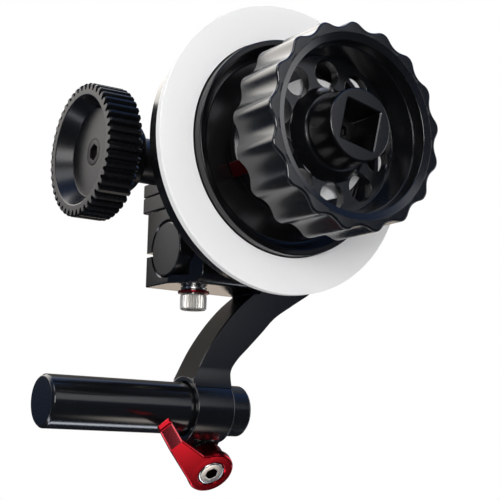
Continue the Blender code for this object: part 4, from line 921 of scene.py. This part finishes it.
# The strip draws the line along the rod, and is off where the lever's tip would mirror it.
ramps = [(parts.outputs["X"], 0.044, 0.054, 1.0, 0.0),
    (parts.outputs["X"], 0.082, 0.092, 0.0, 1.0), (off.outputs["Value"], 0.006, 0.016, 5.5, 0.0),
    (distances[0], 0.0, 0.036, 3.2, 0.0), (distances[1], 0.25, 0.5, 1.4, 0.0)]
nearHalf, farHalf, band, frontGlow, farGlow = [addNode(tree, "MapRange",
    {"interpolation_type": "SMOOTHSTEP", **dict(zip(rampEnds, limits))},
    {"Value": value}).outputs["Result"] for value, *limits in ramps]
halves = addNode(tree, "Math", {"operation": "ADD"}, {0: nearHalf, 1: farHalf})
strip = addNode(tree, "Math", {"operation": "MULTIPLY"}, {0: band, 1: halves.outputs["Value"]})
glows = (("#eef4ff", strip.outputs["Value"]), ("#fff4ea", frontGlow), ("#ffecd6", farGlow))
lit = addNode(tree, "Emission", {"Color": colour("#2e3440")}).outputs["Emission"]
for tint, strength in glows:
    glow = addNode(tree, "Emission", {"Color": colour(tint)}, {"Strength": strength})
    lit = addNode(tree, "AddShader", None,
        {0: lit, 1: glow.outputs["Emission"]}).outputs["Shader"]
rays = addNode(tree, "LightPath")
seen = addNode(tree, "MixShader", None,
    {0: rays.outputs["Is Glossy Ray"], 1: shader.outputs["BSDF"], 2: lit})
tree.links.new(seen.outputs["Shader"], tree.nodes["Material Output"].inputs["Surface"])
floorMesh.materials.append(paper)

# A dark flag behind the arm, unseen itself, keeps the bright wall off the arm's slanted side. It
# glows a dim grey of its own, a painted reflection that only the gloss sees.
flagMesh = bpy.data.meshes.new("flag")
flagMesh.from_pydata([(x, 0.07, z) for x, z in rectangle(-0.055, 0.12, 0.035, 0.12)], [],
    [(0, 1, 2, 3)])
flag = newPiece("flag", flagMesh)
flagMesh.materials.append(newFinish("flagDimGreyGlow", "#0a0a0a", 0.0, 0.9,
    {"Emission Color": colour("#7a756f"), "Emission Strength": 1.0})[0])
flag.visible_camera = flag.visible_shadow = flag.visible_diffuse = False

# The set as the gloss sees it: a dim cool room, and behind the object at the left a bright
# wall that grows brighter upwards. The camera sees plain white, and a soft grey fills the shade.
world = bpy.data.worlds.new("studio")
scene.world = world
world.use_nodes = True
tree = world.node_tree
output = tree.nodes["World Output"]
background = tree.nodes["Background"]
background.inputs["Color"].default_value = colour("#ffffff")
fill = addNode(tree, "Background", {"Color": colour("#ffffff"), "Strength": 0.4})
way = addNode(tree, "TexCoord")
parts = addNode(tree, "SeparateXYZ", None, {0: way.outputs["Generated"]})
ramps = [(parts.outputs["Y"], 0.1, 0.6, 0.0, 1.0), (parts.outputs["Z"], 0.05, 0.5, 0.0, 3.8),
    (parts.outputs["X"], 0.15, 0.5, 1.0, 0.06), (parts.outputs["Z"], 0.45, 0.95, 0.12, 0.7),
    (parts.outputs["X"], 0.78, 0.95, 0.0, 1.6)]
behind, upwards, leftwards, ceiling, rightSide = [addNode(tree, "MapRange",
    {"interpolation_type": "SMOOTHSTEP", **dict(zip(rampEnds, limits))},
    {"Value": value}).outputs["Result"] for value, *limits in ramps]
wall = addNode(tree, "Math", {"operation": "MULTIPLY"}, {0: behind, 1: upwards})
wall = addNode(tree, "Math", {"operation": "MULTIPLY"}, {0: wall.outputs["Value"], 1: leftwards})
# The room is cool and dim, its ceiling bluer, and a lit side wall at the right draws the rims
# that face it.
wallLight, roomLight, sideLight = [
    addNode(tree, "Background", {"Color": colour(tint)}, {"Strength": strength})
    for tint, strength in (("#fffaf2", wall.outputs["Value"]), ("#6f9be6", ceiling),
    ("#ffffff", rightSide))]
both = addNode(tree, "AddShader", None,
    {0: wallLight.outputs["Background"], 1: roomLight.outputs["Background"]})
both = addNode(tree, "AddShader", None,
    {0: both.outputs["Shader"], 1: sideLight.outputs["Background"]})
rays = addNode(tree, "LightPath")
gloss = addNode(tree, "Math", {"operation": "MAXIMUM"},
    {0: rays.outputs["Is Glossy Ray"], 1: rays.outputs["Is Transmission Ray"]})
withGloss = addNode(tree, "MixShader", None,
    {0: gloss.outputs["Value"], 1: fill.outputs["Background"], 2: both.outputs["Shader"]})
whole = addNode(tree, "MixShader", None, {0: rays.outputs["Is Camera Ray"],
    1: withGloss.outputs["Shader"], 2: background.outputs["Background"]})
tree.links.new(whole.outputs["Shader"], output.inputs["Surface"])

# Softboxes: place, the point they face, width, height and power.
softboxes = {
    "front": ((-0.62, -1.0, 0.12), (0, -0.03, 0.05), 0.5, 0.5, 7.2),
    "keyLeft": ((-0.75, -0.55, 0.85), (0, -0.03, 0.05), 0.5, 0.5, 2.6),
    "frontRight": ((0.36, -0.9, 0.43), (0, -0.03, 0.04), 0.42, 0.62, 0.85),
}
for name, (spot, target, width, height, power) in softboxes.items():
    lamp = bpy.data.lights.new(name, "AREA")
    lamp.shape = "RECTANGLE"
    lamp.size = width
    lamp.size_y = height
    lamp.energy = power
    holder = bpy.data.objects.new(name, lamp)
    toward = unit(np.array(target, float) - np.array(spot))
    side = unit(np.cross(toward, (0, 0.05, 1)))
    turnTo = np.stack([side, np.cross(side, toward), -toward], 1)
    holder.matrix_world = Matrix.LocRotScale(spot, Matrix(turnTo.tolist()), None)
    holder.visible_camera = False
    scene.collection.objects.link(holder)

# The camera: a long lens from the front left, a little below the middle.
camera = bpy.data.cameras.new("camera")
camera.lens = 93.64
camera.sensor_width = 36.0
camera.sensor_fit = "HORIZONTAL"
camera.clip_start = 0.01
right = np.array((0.8314, -0.5553, 0.0230))
upward = np.array((-0.1134, -0.1288, 0.9852))
look = np.stack([unit(right), unit(upward), unit(np.cross(right, upward))], 1)
cameraObject = bpy.data.objects.new("camera", camera)
cameraObject.matrix_world = Matrix.LocRotScale((-200.23 * mm, -328.23 * mm, -18.52 * mm),
    Matrix(look.tolist()), None)
scene.collection.objects.link(cameraObject)
scene.camera = cameraObject
scene.view_settings.view_transform = "Standard"
print("studio made")
